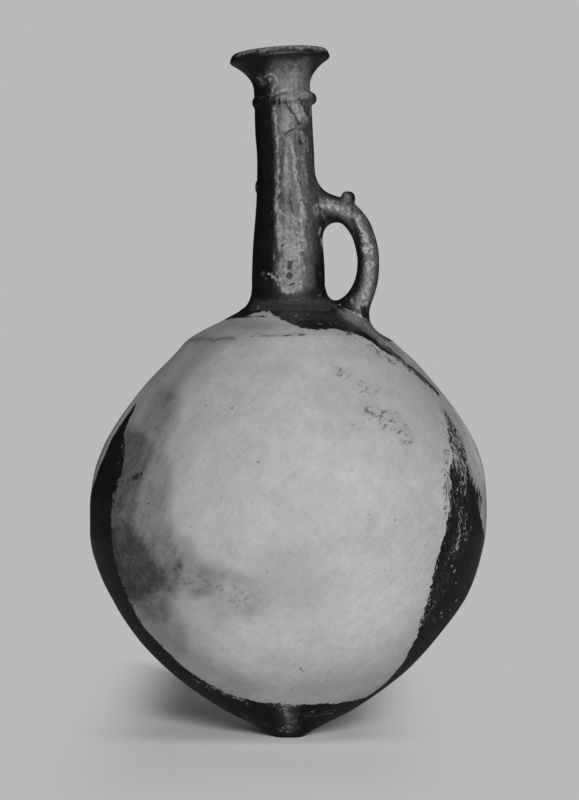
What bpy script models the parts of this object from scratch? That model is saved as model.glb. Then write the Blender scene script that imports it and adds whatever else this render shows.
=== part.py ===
"""A handmade pottery jug with a pointed base, a tall ringed neck and one loop handle.

Each clay member is formed by itself and joined to its neighbours, as a potter builds such a
jug: the point of the base, the courses of the round body, the shoulder, the neck that is let
into it, the coils over its joints, the flared mouth and the handle. The walls meet in slanted
laps, and the lower end of the handle is a tenon that goes through the shoulder's wall.

Lengths are in metres and +Z is up. The origin is the centre of the foot, on the surface that
the jug stands on. The handle is towards +X, and the front, as usually shown, is towards -Y.
"""

import math

import bmesh
import bpy
from mathutils import Matrix, Vector
from mathutils.geometry import interpolate_bezier

# Body
FOOT_RADIUS = 0.0092
BELLY_RADIUS = 0.1329
BELLY_HEIGHT = 0.1475  # of the widest ring
SEAM_RADIUS = 0.0672  # where the belly's wall ends and the shoulder begins
SEAM_RISE = 0.119  # from the widest ring
BODY_WALL = 0.0062
FLOOR_THICKNESS = 0.018
LAP = 0.005  # how far a slanted joint between two walls runs along them

# Outline of the body, as shares of the way from the foot's edge to the widest ring
# and then from the widest ring to the seam, each one outwards or inwards, then upwards
POINT_SHARES = ((0.035, 0.018), (0.144, 0.068), (0.298, 0.135))
BOWL_SHARES = ((0.567, 0.300), (0.765, 0.482), (0.905, 0.664), (0.982, 0.846), (1.0, 1.0))
BELLY_SHARES = ((0.955, 0.27), (0.80, 0.48), (0.55, 0.68), (0.28, 0.85), (0.0, 1.0))
COURSE_KNOTS = 2  # how many of those points one course of the wall rises past

# Neck, turned about an axis that leans away from the handle
NECK_FOOT_RADIUS = 0.0244
NECK_TOP_RADIUS = 0.0192
NECK_ROOT_RISE = 0.023  # from the seam to where the neck stands on the shoulder
NECK_LENGTH = 0.1375
NECK_WALL = 0.0052
NECK_LEAN = math.radians(1.6)
SPIGOT_LENGTH = 0.0085  # thinner end of the neck, let into the shoulder
SPIGOT_STEP = 0.0024
# Shares of the neck's length, and of the way from its top radius to its foot radius
NECK_SHARES = ((0.0, 1.0), (0.17, 0.93), (0.28, 0.79), (0.40, 0.50), (0.53, 0.22), (0.70, 0.06), (1.0, 0.0))

# Coil that is smeared round the foot of the neck
FOOT_COIL_HEIGHT = 0.0085
FOOT_COIL_WIDTH = 0.0095
FOOT_COIL_EDGE = 0.0008
COIL_HOLLOW_SHARE = 3.0  # power of its hollow curve

# Mouth, turned about an axis that tilts further than the neck
MOUTH_TILT = math.radians(2.4)
THROAT_LENGTH = 0.0079
FLARE_HEIGHT = 0.0191
MOUTH_RADIUS = 0.0336
LIP_HEIGHT = 0.0059
LIP_WIDTH = 0.0042
LIP_INNER_DROP = 0.0012
FLARE_SHARE = 2.05  # power of the flaring curve

# Ring round the joint of neck and mouth
RING_PROUD = 0.0021
RING_HEIGHT = 0.0068

# Pellet on the side of the neck away from the handle
PELLET_HEIGHT = 0.0790  # above the neck's root
PELLET_RADIUS = 0.0041
PELLET_PROUD = 0.0018

# Handle, a round loop in the XZ plane
HANDLE_RADIUS = 0.0073
HANDLE_REACH = 0.0536  # of its centre line, from the body's axis
HANDLE_TOP_RISE = 0.0645  # of its centre line at the neck, from the neck's root
HANDLE_REACH_RISE = 0.0288  # of its outermost point, from the neck's root
HANDLE_FOOT_REACH = 0.0418  # where its centre line meets the shoulder
TENON_RADIUS = 0.0052
TENON_PROUD = 0.0022  # past the inside of the wall
# Shares of the way out and up, and thickness as a share of the handle's radius:
# from neck to outermost point, then from there down to the shoulder
HANDLE_UPPER_SHARES = (
    (-0.12, 1.0, 2.05),
    (0.08, 1.0, 1.72),
    (0.24, 0.995, 1.34),
    (0.40, 0.985, 1.15),
    (0.582, 0.924, 1.05),
    (0.776, 0.731, 1.01),
    (0.924, 0.434, 1.0),
    (1.0, 0.0, 1.0),
)
HANDLE_LOWER_SHARES = (
    (0.915, 0.69, 1.02),
    (0.627, 0.417, 1.12),
    (0.356, 0.244, 1.32),
    (0.127, 0.073, 1.68),
    (-0.127, -0.097, 2.1),
)

TENON_KNOT = -3  # point of the lower table where the tenon starts inside the handle

# Knob on the bend of the handle
KNOB_KNOT = 4  # point of the upper table under the knob
KNOB_RADIUS = 0.0046
KNOB_HEIGHT = 0.0137  # above the handle's centre line
KNOB_DOME = 0.0030
KNOB_LEAN = math.radians(9)

SEAM_HEIGHT = BELLY_HEIGHT + SEAM_RISE
NECK_ROOT_HEIGHT = SEAM_HEIGHT + NECK_ROOT_RISE
HANDLE_TOP_HEIGHT = NECK_ROOT_HEIGHT + HANDLE_TOP_RISE
HANDLE_REACH_HEIGHT = NECK_ROOT_HEIGHT + HANDLE_REACH_RISE

CLEARANCE = 0.0003  # between two members that touch
OVERRUN = 0.006  # how far a cutting shape goes past what it cuts

SAME_PLACE_SHARE = 0.01  # of the clearance: points that lie closer than this are one
EDGE_ANGLE = math.radians(34)  # a sharper bend than this is shaded as an edge

BODY_STEPS = 56
NECK_STEPS = 40
BAR_STEPS = 20  # round the knob and the tenon
HANDLE_SIDE_ROWS = 3
OUTLINE_SPANS = 2
ARC_SPANS = 4
FLARE_SPANS = 6
RING_SPANS = 8

# Lightness, roughness: the members have no hue of their own in a black-and-white picture
PALE_CLAY = (0.42, 0.48)
GREY_CLAY = (0.30, 0.50)
DARK_SLIP = (0.035, 0.34)
WORN_SLIP = (0.075, 0.42)


def curve_through(knots, spans):
    """Points of a smooth curve that passes through each knot."""
    knots = [Vector(knot) for knot in knots]
    chords = [(end - start).length for start, end in zip(knots, knots[1:])]
    slopes = [(knots[1] - knots[0]) / chords[0]]
    for i in range(1, len(chords)):
        slopes.append((knots[i + 1] - knots[i - 1]) / (chords[i - 1] + chords[i]))
    slopes.append((knots[-1] - knots[-2]) / chords[-1])
    points = []
    for i, chord in enumerate(chords):
        leave = knots[i] + slopes[i] * chord / 3
        arrive = knots[i + 1] - slopes[i + 1] * chord / 3
        points += interpolate_bezier(knots[i], leave, arrive, knots[i + 1], spans + 1)[:-1]
    return points + [knots[-1]]


def directions(outline):
    """The unit vectors along an outline that runs upwards, one at each point."""
    ends = zip([outline[0]] + outline[:-1], outline[1:] + [outline[-1]])
    return [(after - before).normalized() for before, after in ends]


def outward(direction):
    return Vector((direction[1], -direction[0]))


def grown(outline, by):
    return [point + outward(along) * by for point, along in zip(outline, directions(outline))]


def turned(name, profile, steps, on_axis=False):
    """A closed solid turned about Z from a profile of radius and height.

    The profile is a closed loop beside the axis or, with on_axis, runs from the axis to it.
    """
    shape = bmesh.new()
    verts = [shape.verts.new((point[0], 0, point[1])) for point in profile]
    ends = verts[1:] if on_axis else verts[1:] + verts[:1]
    edges = [shape.edges.new(pair) for pair in zip(verts, ends)]
    bmesh.ops.spin(
        shape, geom=verts + edges, cent=(0, 0, 0), axis=(0, 0, 1), angle=math.tau,
        steps=steps, use_merge=True,
    )
    bmesh.ops.remove_doubles(shape, verts=shape.verts, dist=CLEARANCE * SAME_PLACE_SHARE)
    bmesh.ops.recalc_face_normals(shape, faces=shape.faces)
    return object_of(name, shape)


def object_of(name, shape):
    mesh = bpy.data.meshes.new(name)
    shape.to_mesh(mesh)
    shape.free()
    piece = bpy.data.objects.new(name, mesh)
    bpy.context.scene.collection.objects.link(piece)
    return piece


def as_cutter(piece):
    piece.hide_render = True
    piece.display_type = "WIRE"
    return piece


def combine(piece, other, operation="DIFFERENCE"):
    modifier = piece.modifiers.new(other.name, "BOOLEAN")
    modifier.operation = operation
    modifier.object = other


def finish(piece, tone):
    """Applies the piece's cuts and gives it its shading and its material."""
    graph = bpy.context.evaluated_depsgraph_get()
    mesh = bpy.data.meshes.new_from_object(piece.evaluated_get(graph))
    piece.modifiers.clear()
    piece.data = mesh
    mesh.name = piece.name
    mesh.shade_smooth()
    mesh.set_sharp_from_angle(angle=EDGE_ANGLE)
    lightness, roughness = tone
    material = bpy.data.materials.new(piece.name)
    material.use_nodes = True
    shader = material.node_tree.nodes["Principled BSDF"]
    shader.inputs["Base Color"].default_value = (lightness, lightness, lightness, 1)
    shader.inputs["Roughness"].default_value = roughness
    shader.inputs["Metallic"].default_value = 0
    mesh.materials.clear()
    mesh.materials.append(material)


def axis_empty(name, place, tilt, parent=None):
    """An empty whose Z axis leans towards -X by the tilt."""
    empty = bpy.data.objects.new(name, None)
    empty.location = place
    empty.rotation_euler = (0, -tilt, 0)
    empty.parent = parent
    bpy.context.scene.collection.objects.link(empty)
    return empty


def body_outline():
    """Outer outline of the body, from the foot's edge to inside the neck, and its joints' indexes."""
    width = BELLY_RADIUS - FOOT_RADIUS
    knots = [(FOOT_RADIUS, 0)]
    for out, up in POINT_SHARES + BOWL_SHARES:
        knots.append((FOOT_RADIUS + out * width, up * BELLY_HEIGHT))
    narrowing = BELLY_RADIUS - SEAM_RADIUS
    for out, up in BELLY_SHARES:
        knots.append((SEAM_RADIUS + out * narrowing, BELLY_HEIGHT + up * SEAM_RISE))
    outline = [point.to_2d() for point in curve_through(knots, OUTLINE_SPANS)]
    inside_neck = NECK_FOOT_RADIUS - NECK_WALL
    for radius in ((SEAM_RADIUS + NECK_FOOT_RADIUS) / 2, inside_neck):
        outline.append(Vector((radius, shoulder_height(radius))))
    base_joint = len(POINT_SHARES) * OUTLINE_SPANS
    seam = base_joint + (len(BOWL_SHARES) + len(BELLY_SHARES)) * OUTLINE_SPANS
    joints = [*range(base_joint, seam, COURSE_KNOTS * OUTLINE_SPANS), seam, len(outline) - 1]
    return outline, joints


def shoulder_slope():
    """How far the shoulder falls for each step outwards."""
    return NECK_ROOT_RISE / (SEAM_RADIUS - NECK_FOOT_RADIUS)


def shoulder_height(radius):
    """Height of the shoulder's straight slope at a distance from the axis."""
    return NECK_ROOT_HEIGHT + (NECK_FOOT_RADIUS - radius) * shoulder_slope()


def wall_sides(outline):
    """Outer and inner side of the wall, with the inner one moved up along it by the lap."""
    along = directions(outline)
    inner = [
        point - outward(ahead) * BODY_WALL + ahead * LAP for point, ahead in zip(outline, along)
    ]
    return along, inner


def wall_between(outline, first, last):
    """Closed profile of the wall from one slanted joint to the next, half a gap short of each."""
    along, inner = wall_sides(outline)
    half_gap = CLEARANCE / 2 * math.hypot(LAP, BODY_WALL) / BODY_WALL
    sides = []
    for side in (outline, inner):
        points = [point.copy() for point in side[first:last + 1]]
        points[0] += along[first] * half_gap
        points[-1] -= along[last] * half_gap
        sides.append(points)
    return sides[0] + sides[1][::-1]


def make_base_point(outline, joint):
    """Solid point of the base, with the flat foot under it and the vessel's floor on top."""
    wall = wall_between(outline, joint - 1, joint)
    outer_end, inner_end = wall[1], wall[2]
    floor = []
    for step in range(ARC_SPANS, -1, -1):
        share = step / ARC_SPANS
        height = FLOOR_THICKNESS + (inner_end[1] - FLOOR_THICKNESS) * share**2
        floor.append((inner_end[0] * share, height))
    profile = [(0, 0)] + outline[:joint] + [outer_end] + floor
    return turned("base_point", profile, BODY_STEPS, on_axis=True)


def make_courses(outline, joints):
    """Rings of the round body's wall, one on the other, from the base to the seam."""
    courses = []
    for number, (first, last) in enumerate(zip(joints, joints[1:-1]), 1):
        courses.append(turned(f"body_course_{number}", wall_between(outline, first, last), BODY_STEPS))
    return courses


def make_body_envelope(outline):
    """The whole upper body as one solid, grown by the clearance, to cut what is set on it."""
    upper = grown(outline, CLEARANCE)[-len(BELLY_SHARES) * OUTLINE_SPANS:]
    profile = [(0, upper[0][1])] + upper + [(0, upper[-1][1])]
    return as_cutter(turned("body_envelope", profile, BODY_STEPS, on_axis=True))


def neck_outline():
    """Outer outline of the neck above its root, from foot to top."""
    knots = []
    for up, out in NECK_SHARES:
        knots.append((NECK_TOP_RADIUS + out * (NECK_FOOT_RADIUS - NECK_TOP_RADIUS), up * NECK_LENGTH))
    return [point.to_2d() for point in curve_through(knots, OUTLINE_SPANS)]


def neck_radius(height):
    """Outer radius of the neck at a height above its root."""
    outline = neck_outline()
    for low, high in zip(outline, outline[1:]):
        if low[1] <= height <= high[1]:
            return low[0] + (high[0] - low[0]) * (height - low[1]) / (high[1] - low[1])
    return outline[-1][0]


def make_neck_tube(axis, mouth_axis):
    """Tapering tube with a thinner end below, and a slanted seat for the mouth on top."""
    spigot_radius = NECK_FOOT_RADIUS - SPIGOT_STEP
    outline = neck_outline()
    top = (outline[-1][0], NECK_LENGTH + OVERRUN)
    outer = [(spigot_radius, -SPIGOT_LENGTH), (spigot_radius, 0)] + outline + [top]
    bore = [(top[0] - NECK_WALL, top[1])]
    bore += [(point[0] - NECK_WALL, point[1]) for point in outline[::-OUTLINE_SPANS]]
    bore += [(NECK_FOOT_RADIUS - NECK_WALL, -SPIGOT_LENGTH)]
    tube = turned("neck_tube", outer + bore, NECK_STEPS)
    tube.parent = axis
    seat = turned("mouth_seat", mouth_seat_profile(), NECK_STEPS, on_axis=True)
    seat.parent = mouth_axis
    combine(tube, as_cutter(seat))
    return tube


def mouth_seat_profile():
    """Solid above the slanted seat, whose lower face lies one clearance under the mouth's end."""
    run = Vector((NECK_WALL, LAP)).normalized()
    gap = -outward(run)
    outer = Vector((NECK_TOP_RADIUS, 0)) - gap * CLEARANCE
    inner = Vector((NECK_TOP_RADIUS - NECK_WALL, -LAP)) - gap * CLEARANCE
    far_out = outer + run * OVERRUN
    far_in = inner - run * OVERRUN
    top = LAP + OVERRUN * 2
    return [(0, far_in[1]), far_in, far_out, (far_out[0], top), (0, top)]


def make_neck_socket(axis):
    """The neck's lower end, grown by the clearance, to cut its socket in the shoulder."""
    narrow = NECK_FOOT_RADIUS - SPIGOT_STEP + CLEARANCE
    wide = NECK_FOOT_RADIUS + CLEARANCE
    depth = SPIGOT_LENGTH + BODY_WALL + OVERRUN
    profile = [
        (0, -depth), (narrow, -depth), (narrow, -CLEARANCE),
        (wide, -CLEARANCE), (wide, OVERRUN), (0, OVERRUN),
    ]
    socket = turned("neck_socket", profile, NECK_STEPS, on_axis=True)
    socket.parent = axis
    return as_cutter(socket)


def foot_coil_outline():
    """Hollow outer curve of the coil, from its thin upper edge down to the shoulder."""
    start = NECK_FOOT_RADIUS + CLEARANCE + FOOT_COIL_EDGE
    points = []
    for step in range(ARC_SPANS + 1):
        share = step / ARC_SPANS
        run = FOOT_COIL_WIDTH * share
        rise = FOOT_COIL_HEIGHT * (1 - share) ** COIL_HOLLOW_SHARE
        points.append(Vector((start + run, rise - run * shoulder_slope())))
    return points


def make_foot_coil(axis, body_envelope):
    """Ring of clay round the foot of the neck, thinned out upwards and down the shoulder."""
    curve = foot_coil_outline()
    inside = NECK_FOOT_RADIUS + CLEARANCE
    bottom = curve[-1][1] - OVERRUN
    profile = [(inside, bottom), (curve[-1][0], bottom)] + curve[::-1] + [(inside, curve[0][1])]
    coil = turned("neck_foot_coil", profile, NECK_STEPS)
    coil.parent = axis
    combine(coil, body_envelope)
    return coil


def make_neck_envelope(axis):
    """Neck and foot coil as one solid, grown by the clearance, to cut what is set on them."""
    coil = foot_coil_outline()[::-1]
    above = [point for point in neck_outline() if point[1] > coil[-1][1]]
    upper = grown(coil + above, CLEARANCE)
    bottom = upper[0][1] - OVERRUN
    profile = [(0, bottom), (upper[0][0], bottom)] + upper + [(0, upper[-1][1])]
    envelope = turned("neck_envelope", profile, NECK_STEPS, on_axis=True)
    envelope.parent = axis
    return as_cutter(envelope)


def make_neck_ring(mouth_axis):
    """Raised ring over the joint of neck and mouth, half round in section."""
    slack = RING_HEIGHT / 2 * math.sin(MOUTH_TILT)
    inside = NECK_TOP_RADIUS + CLEARANCE + slack
    proud = NECK_TOP_RADIUS + RING_PROUD - inside
    profile = []
    for step in range(RING_SPANS + 1):
        angle = math.pi * (step / RING_SPANS) - math.pi / 2
        profile.append((inside + proud * math.cos(angle), RING_HEIGHT / 2 * math.sin(angle)))
    ring = turned("neck_ring", profile, NECK_STEPS)
    ring.parent = mouth_axis
    return ring


def flare(start, end):
    """Curve that leaves the first point upwards and bends outwards to the second."""
    curve = []
    for step in range(FLARE_SPANS + 1):
        share = step / FLARE_SPANS
        out = (end[0] - start[0]) * share**FLARE_SHARE
        curve.append(Vector((start[0] + out, start[1] + (end[1] - start[1]) * share)))
    return curve


def make_mouth(mouth_axis):
    """Flared mouth with a rounded lip, and a slanted lower end inside the neck's top."""
    bore = NECK_TOP_RADIUS - NECK_WALL
    widest = THROAT_LENGTH + FLARE_HEIGHT
    crest = widest + LIP_HEIGHT
    outer = [Vector((NECK_TOP_RADIUS, 0))]
    outer += flare((NECK_TOP_RADIUS, THROAT_LENGTH), (MOUTH_RADIUS, widest))
    lip = []
    for step in range(1, ARC_SPANS + 1):
        angle = math.pi / 2 * step / ARC_SPANS
        lip.append((
            MOUTH_RADIUS - LIP_WIDTH * (1 - math.cos(angle)),
            widest + LIP_HEIGHT * math.sin(angle),
        ))
    inner_edge = (lip[-1][0] - LIP_INNER_DROP, crest - LIP_INNER_DROP)
    inner = flare((bore, THROAT_LENGTH - LIP_WIDTH / 2), inner_edge)
    profile = outer + lip + inner[::-1] + [(bore, -LAP)]
    mouth = turned("mouth", profile, NECK_STEPS)
    mouth.parent = mouth_axis
    return mouth


def make_pellet(axis, neck_envelope):
    """Flattened pellet, the cap of a ball that stands out of the neck."""
    ball_radius = (PELLET_RADIUS**2 + PELLET_PROUD**2) / (2 * PELLET_PROUD)
    shape = bmesh.new()
    bmesh.ops.create_icosphere(shape, subdivisions=3, radius=ball_radius)
    pellet = object_of("neck_pellet", shape)
    out = neck_radius(PELLET_HEIGHT) + PELLET_PROUD - ball_radius
    pellet.location = (-out, 0, PELLET_HEIGHT)
    pellet.parent = axis
    combine(pellet, neck_envelope)
    return pellet


def handle_knots():
    """Places of the handle's centre line in the XZ plane, each with the radius there."""
    neck_side = neck_radius(HANDLE_TOP_RISE) - HANDLE_TOP_RISE * math.sin(NECK_LEAN)
    foot_height = shoulder_height(HANDLE_FOOT_REACH)
    knots = []
    for out, up, thick in HANDLE_UPPER_SHARES:
        knots.append((
            neck_side + out * (HANDLE_REACH - neck_side),
            HANDLE_REACH_HEIGHT + up * (HANDLE_TOP_HEIGHT - HANDLE_REACH_HEIGHT),
            thick * HANDLE_RADIUS,
        ))
    for out, up, thick in HANDLE_LOWER_SHARES:
        knots.append((
            HANDLE_FOOT_REACH + out * (HANDLE_REACH - HANDLE_FOOT_REACH),
            foot_height + up * (HANDLE_REACH_HEIGHT - foot_height),
            thick * HANDLE_RADIUS,
        ))
    return knots


def handle_sweep(name, extra):
    """Round sweep along the handle's centre line, thicker by the extra all round."""
    points = curve_through(handle_knots(), OUTLINE_SPANS)
    curve = bpy.data.curves.new(name, "CURVE")
    curve.dimensions = "3D"
    curve.bevel_depth = HANDLE_RADIUS
    curve.bevel_resolution = HANDLE_SIDE_ROWS
    curve.use_fill_caps = True
    curve.twist_mode = "MINIMUM"
    spline = curve.splines.new("POLY")
    spline.points.add(len(points) - 1)
    for place, (x, z, radius) in zip(spline.points, points):
        place.co = (x, 0, z, 1)
        place.radius = (radius + extra) / HANDLE_RADIUS
    guide = bpy.data.objects.new(name, curve)
    shape = bmesh.new()
    shape.from_mesh(guide.to_mesh())
    bpy.data.objects.remove(guide)
    bmesh.ops.remove_doubles(shape, verts=shape.verts, dist=CLEARANCE * SAME_PLACE_SHARE)
    bmesh.ops.recalc_face_normals(shape, faces=shape.faces)
    return object_of(name, shape)


def knot_place(number):
    """Point of the handle's centre line at one of its knots."""
    x, z, _ = handle_knots()[number]
    return Vector((x, 0, z))


def tenon_ends():
    """Where the tenon starts inside the handle's foot, and where it ends inside the body."""
    start = knot_place(TENON_KNOT)
    at_wall = Vector((HANDLE_FOOT_REACH, 0, shoulder_height(HANDLE_FOOT_REACH)))
    inwards = (at_wall - start).normalized()
    return start, at_wall + inwards * (BODY_WALL + TENON_PROUD), inwards


def rod(name, start, end, radius):
    """Straight round bar between two points."""
    shape = bmesh.new()
    length = (end - start).length
    bmesh.ops.create_cone(
        shape, cap_ends=True, segments=BAR_STEPS, radius1=radius, radius2=radius, depth=length,
    )
    turn = (end - start).to_track_quat("Z", "Y").to_matrix().to_4x4()
    bmesh.ops.transform(shape, matrix=Matrix.Translation((start + end) / 2) @ turn, verts=shape.verts)
    return object_of(name, shape)


def make_tenon_hole():
    """The tenon, grown by the clearance and run past the wall, to cut its hole."""
    start, end, inwards = tenon_ends()
    return as_cutter(rod("tenon_hole", start, end + inwards * OVERRUN, TENON_RADIUS + CLEARANCE))


def make_handle(body_envelope, neck_envelope):
    """Loop handle, seated on neck and shoulder, with its tenon through the shoulder's wall."""
    handle = handle_sweep("handle", 0)
    combine(handle, neck_envelope)
    combine(handle, body_envelope)
    start, end, _ = tenon_ends()
    combine(handle, as_cutter(rod("handle_tenon", start, end, TENON_RADIUS)), "UNION")
    return handle


def make_knob(handle_envelope):
    """Stub with a domed top on the bend of the handle."""
    foot = KNOB_HEIGHT - KNOB_DOME
    profile = [(0, 0), (KNOB_RADIUS, 0), (KNOB_RADIUS, foot)]
    for step in range(1, ARC_SPANS):
        angle = math.pi / 2 * step / ARC_SPANS
        profile.append((KNOB_RADIUS * math.cos(angle), foot + KNOB_DOME * math.sin(angle)))
    profile.append((0, KNOB_HEIGHT))
    knob = turned("handle_knob", profile, BAR_STEPS, on_axis=True)
    knob.location = knot_place(KNOB_KNOT)
    knob.rotation_euler = (0, KNOB_LEAN, 0)
    combine(knob, handle_envelope)
    return knob


def build_jug():
    outline, joints = body_outline()
    neck_axis = axis_empty("neck_axis", (0, 0, NECK_ROOT_HEIGHT), NECK_LEAN)
    mouth_axis = axis_empty("mouth_axis", (0, 0, NECK_LENGTH), MOUTH_TILT, neck_axis)
    body_envelope = make_body_envelope(outline)
    neck_envelope = make_neck_envelope(neck_axis)

    shoulder = turned("shoulder", wall_between(outline, *joints[-2:]), BODY_STEPS)
    combine(shoulder, make_neck_socket(neck_axis))
    combine(shoulder, make_tenon_hole())

    pieces = dict.fromkeys(make_courses(outline, joints), PALE_CLAY)
    pieces |= {
        make_base_point(outline, joints[0]): DARK_SLIP,
        shoulder: GREY_CLAY,
        make_neck_tube(neck_axis, mouth_axis): DARK_SLIP,
        make_foot_coil(neck_axis, body_envelope): DARK_SLIP,
        make_neck_ring(mouth_axis): WORN_SLIP,
        make_mouth(mouth_axis): DARK_SLIP,
        make_pellet(neck_axis, neck_envelope): DARK_SLIP,
        make_handle(body_envelope, neck_envelope): WORN_SLIP,
        make_knob(as_cutter(handle_sweep("handle_envelope", CLEARANCE))): WORN_SLIP,
    }
    bpy.context.view_layer.update()
    for piece, tone in pieces.items():
        finish(piece, tone)
    for helper in [thing for thing in bpy.data.objects if thing.hide_render]:
        bpy.data.objects.remove(helper)


for thing in list(bpy.data.objects):
    bpy.data.objects.remove(thing)
build_jug()
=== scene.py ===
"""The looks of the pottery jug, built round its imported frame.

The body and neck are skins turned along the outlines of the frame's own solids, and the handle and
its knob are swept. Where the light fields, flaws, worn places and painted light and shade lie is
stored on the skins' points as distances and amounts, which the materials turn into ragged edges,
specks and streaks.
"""

import math
from functools import reduce

import bmesh
import bpy
import numpy as np
from mathutils import Matrix, Vector, noise
from mathutils.bvhtree import BVHTree
from mathutils.kdtree import KDTree


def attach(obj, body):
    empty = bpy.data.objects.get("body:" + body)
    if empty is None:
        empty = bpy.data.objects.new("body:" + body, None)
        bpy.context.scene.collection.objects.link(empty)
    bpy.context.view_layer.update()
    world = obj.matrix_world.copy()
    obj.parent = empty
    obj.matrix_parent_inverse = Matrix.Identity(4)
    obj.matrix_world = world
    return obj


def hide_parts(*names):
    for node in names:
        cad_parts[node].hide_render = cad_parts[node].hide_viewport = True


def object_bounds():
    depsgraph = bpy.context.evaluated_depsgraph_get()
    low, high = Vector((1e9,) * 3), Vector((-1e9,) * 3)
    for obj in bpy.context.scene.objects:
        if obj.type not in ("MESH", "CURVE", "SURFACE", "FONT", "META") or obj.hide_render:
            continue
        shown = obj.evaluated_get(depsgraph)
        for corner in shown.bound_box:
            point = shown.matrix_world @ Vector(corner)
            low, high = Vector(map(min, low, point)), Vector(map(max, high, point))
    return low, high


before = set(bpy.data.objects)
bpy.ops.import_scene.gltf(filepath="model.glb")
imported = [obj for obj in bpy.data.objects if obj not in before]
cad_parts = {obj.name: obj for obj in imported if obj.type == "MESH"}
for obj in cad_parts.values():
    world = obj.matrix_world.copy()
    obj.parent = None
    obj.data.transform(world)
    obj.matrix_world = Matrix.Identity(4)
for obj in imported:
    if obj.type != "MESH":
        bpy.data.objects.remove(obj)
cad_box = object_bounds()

MM = 0.001

# The photograph's frame and the camera that matches it
IMAGE_WIDTH = 579
IMAGE_HEIGHT = 800
LENS = 96.0  # millimetres, for a sensor whose long side is the next value
SENSOR = 24.0
FOCUS = LENS / SENSOR * IMAGE_HEIGHT  # in pixels
EYE = Vector((0.0007, -2.147, 0.1785))
TILT = math.radians(91.253)
CAMERA_TURN = Matrix.Rotation(TILT, 3, "X")

# Axes of neck and mouth, as in the solids
NECK_ROOT = 0.2895
NECK_LENGTH = 0.1375
NECK_LEAN = math.radians(1.6)
MOUTH_TILT = math.radians(2.4)

BODY_PIECES = ["base_point"] + [f"body_course_{number}" for number in range(1, 6)] + ["shoulder"]
NECK_PIECES = ["neck_foot_coil", "neck_tube", "neck_ring", "mouth"]

BODY_COLUMNS = 360  # points round the body
NECK_COLUMNS = 240
SAME = 0.02 * MM  # closer points than this are one
FAR = 1.0
SHARP = math.radians(50)


def axis_matrix(root, lean):
    """Frame whose Z axis leans towards -X."""
    return Matrix.Translation(root) @ Matrix.Rotation(-lean, 4, "Y")


BODY_AXIS = Matrix.Identity(4)
NECK_AXIS = axis_matrix(Vector((0, 0, NECK_ROOT)), NECK_LEAN)
MOUTH_AXIS = NECK_AXIS @ axis_matrix(Vector((0, 0, NECK_LENGTH)), MOUTH_TILT)


def ray_of(pixel):
    """Start and direction of the ray through a pixel of the photograph."""
    across = (pixel[0] - IMAGE_WIDTH / 2) / FOCUS
    up = (IMAGE_HEIGHT / 2 - pixel[1]) / FOCUS
    return EYE, (CAMERA_TURN @ Vector((across, up, -1))).normalized()


def on_plane(pixel):
    """Point of the plane of symmetry, Y = 0, that a pixel shows."""
    start, way = ray_of(pixel)
    return start - way * (start.y / way.y)


def smooth(low, high, value):
    share = np.clip((value - low) / (high - low), 0, 1)
    return share * share * (3 - 2 * share)


# Outlines, read from the solids


def gathered(pieces, turn=BODY_AXIS):
    """Points and faces of some pieces together, with the points turned to other axes."""
    points, faces = [], []
    for piece in pieces:
        first = len(points)
        points += [turn @ vertex.co for vertex in piece.data.vertices]
        faces += [[first + index for index in face.vertices] for face in piece.data.polygons]
    return points, faces


def outline_rows(names, axis, side):
    """Radius and height of the pieces' rings that show outside (side 1) or inside (side -1)."""
    points, faces = gathered([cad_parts[name] for name in names], axis.inverted())
    tree = BVHTree.FromPolygons(points, faces)
    rows = []
    for point in points:
        if abs(point.x) > SAME or point.y > 0:
            continue
        start = Vector((SAME, -FAR if side > 0 else 0, point.z))
        hit = tree.ray_cast(start, Vector((0, side, 0)))[0]
        if hit is None or (point.y - hit.y) * side < MM / 4:
            rows.append((-point.y, point.z))
    return thinned(sorted(rows, key=lambda row: row[1]))


def thinned(rows):
    """Rows with those that almost meet, as at a joint, brought together, and none from inside it."""
    kept = [rows[0]]
    for row in rows[1:]:
        deep = abs(row[0] - kept[-1][0]) > WALL / 2 and row[1] - kept[-1][1] < MM / 2
        if math.dist(kept[-1], row) < MM / 2:
            kept[-1] = tuple((np.array(kept[-1]) + row) / 2)
        elif not deep:
            kept.append(row)
    return kept


def smooth_line(knots, step):
    """Closely spaced points of a smooth curve through the knots."""
    knots = np.array(knots, float)
    chords = np.linalg.norm(np.diff(knots, axis=0), axis=1)
    slopes = np.empty_like(knots)
    slopes[0] = (knots[1] - knots[0]) / chords[0]
    slopes[-1] = (knots[-1] - knots[-2]) / chords[-1]
    slopes[1:-1] = (knots[2:] - knots[:-2]) / (chords[:-1] + chords[1:])[:, None]
    points = []
    for i, chord in enumerate(chords):
        count = max(1, round(chord / step))
        t = (np.arange(count) / count)[:, None]
        points.append(
            (2 * t**3 - 3 * t**2 + 1) * knots[i]
            + (t**3 - 2 * t**2 + t) * slopes[i] * chord
            + (3 * t**2 - 2 * t**3) * knots[i + 1]
            + (t**3 - t**2) * slopes[i + 1] * chord
        )
    return np.vstack(points + [knots[-1:]])


# Skins: grids of points, rows from the foot up and columns round the axis


def angles(columns):
    """Azimuth of each column: 0 at the front, a quarter turn at the handle."""
    return np.linspace(0, math.tau, columns, endpoint=False)


def ring(columns, radius, height, axis=BODY_AXIS, middle=0.0):
    """Points of one row, from a radius that may differ by column."""
    turn = angles(columns)
    local = np.stack([
        middle + radius * np.sin(turn), -radius * np.cos(turn), np.full(columns, height),
    ], axis=1)
    return local @ np.array(axis.to_3x3()).T + np.array(axis.translation)


def roughly(points, size, seed):
    """Smooth noise from about -1 to 1 at each point, with hills as far apart as the size."""
    shift = Vector((seed * 7.31, seed * 3.17, seed * 5.53))
    flat = points.reshape(-1, 3) / size
    values = [noise.noise(Vector(point) + shift) for point in flat.tolist()]
    return np.array(values).reshape(points.shape[:-1])


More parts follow.
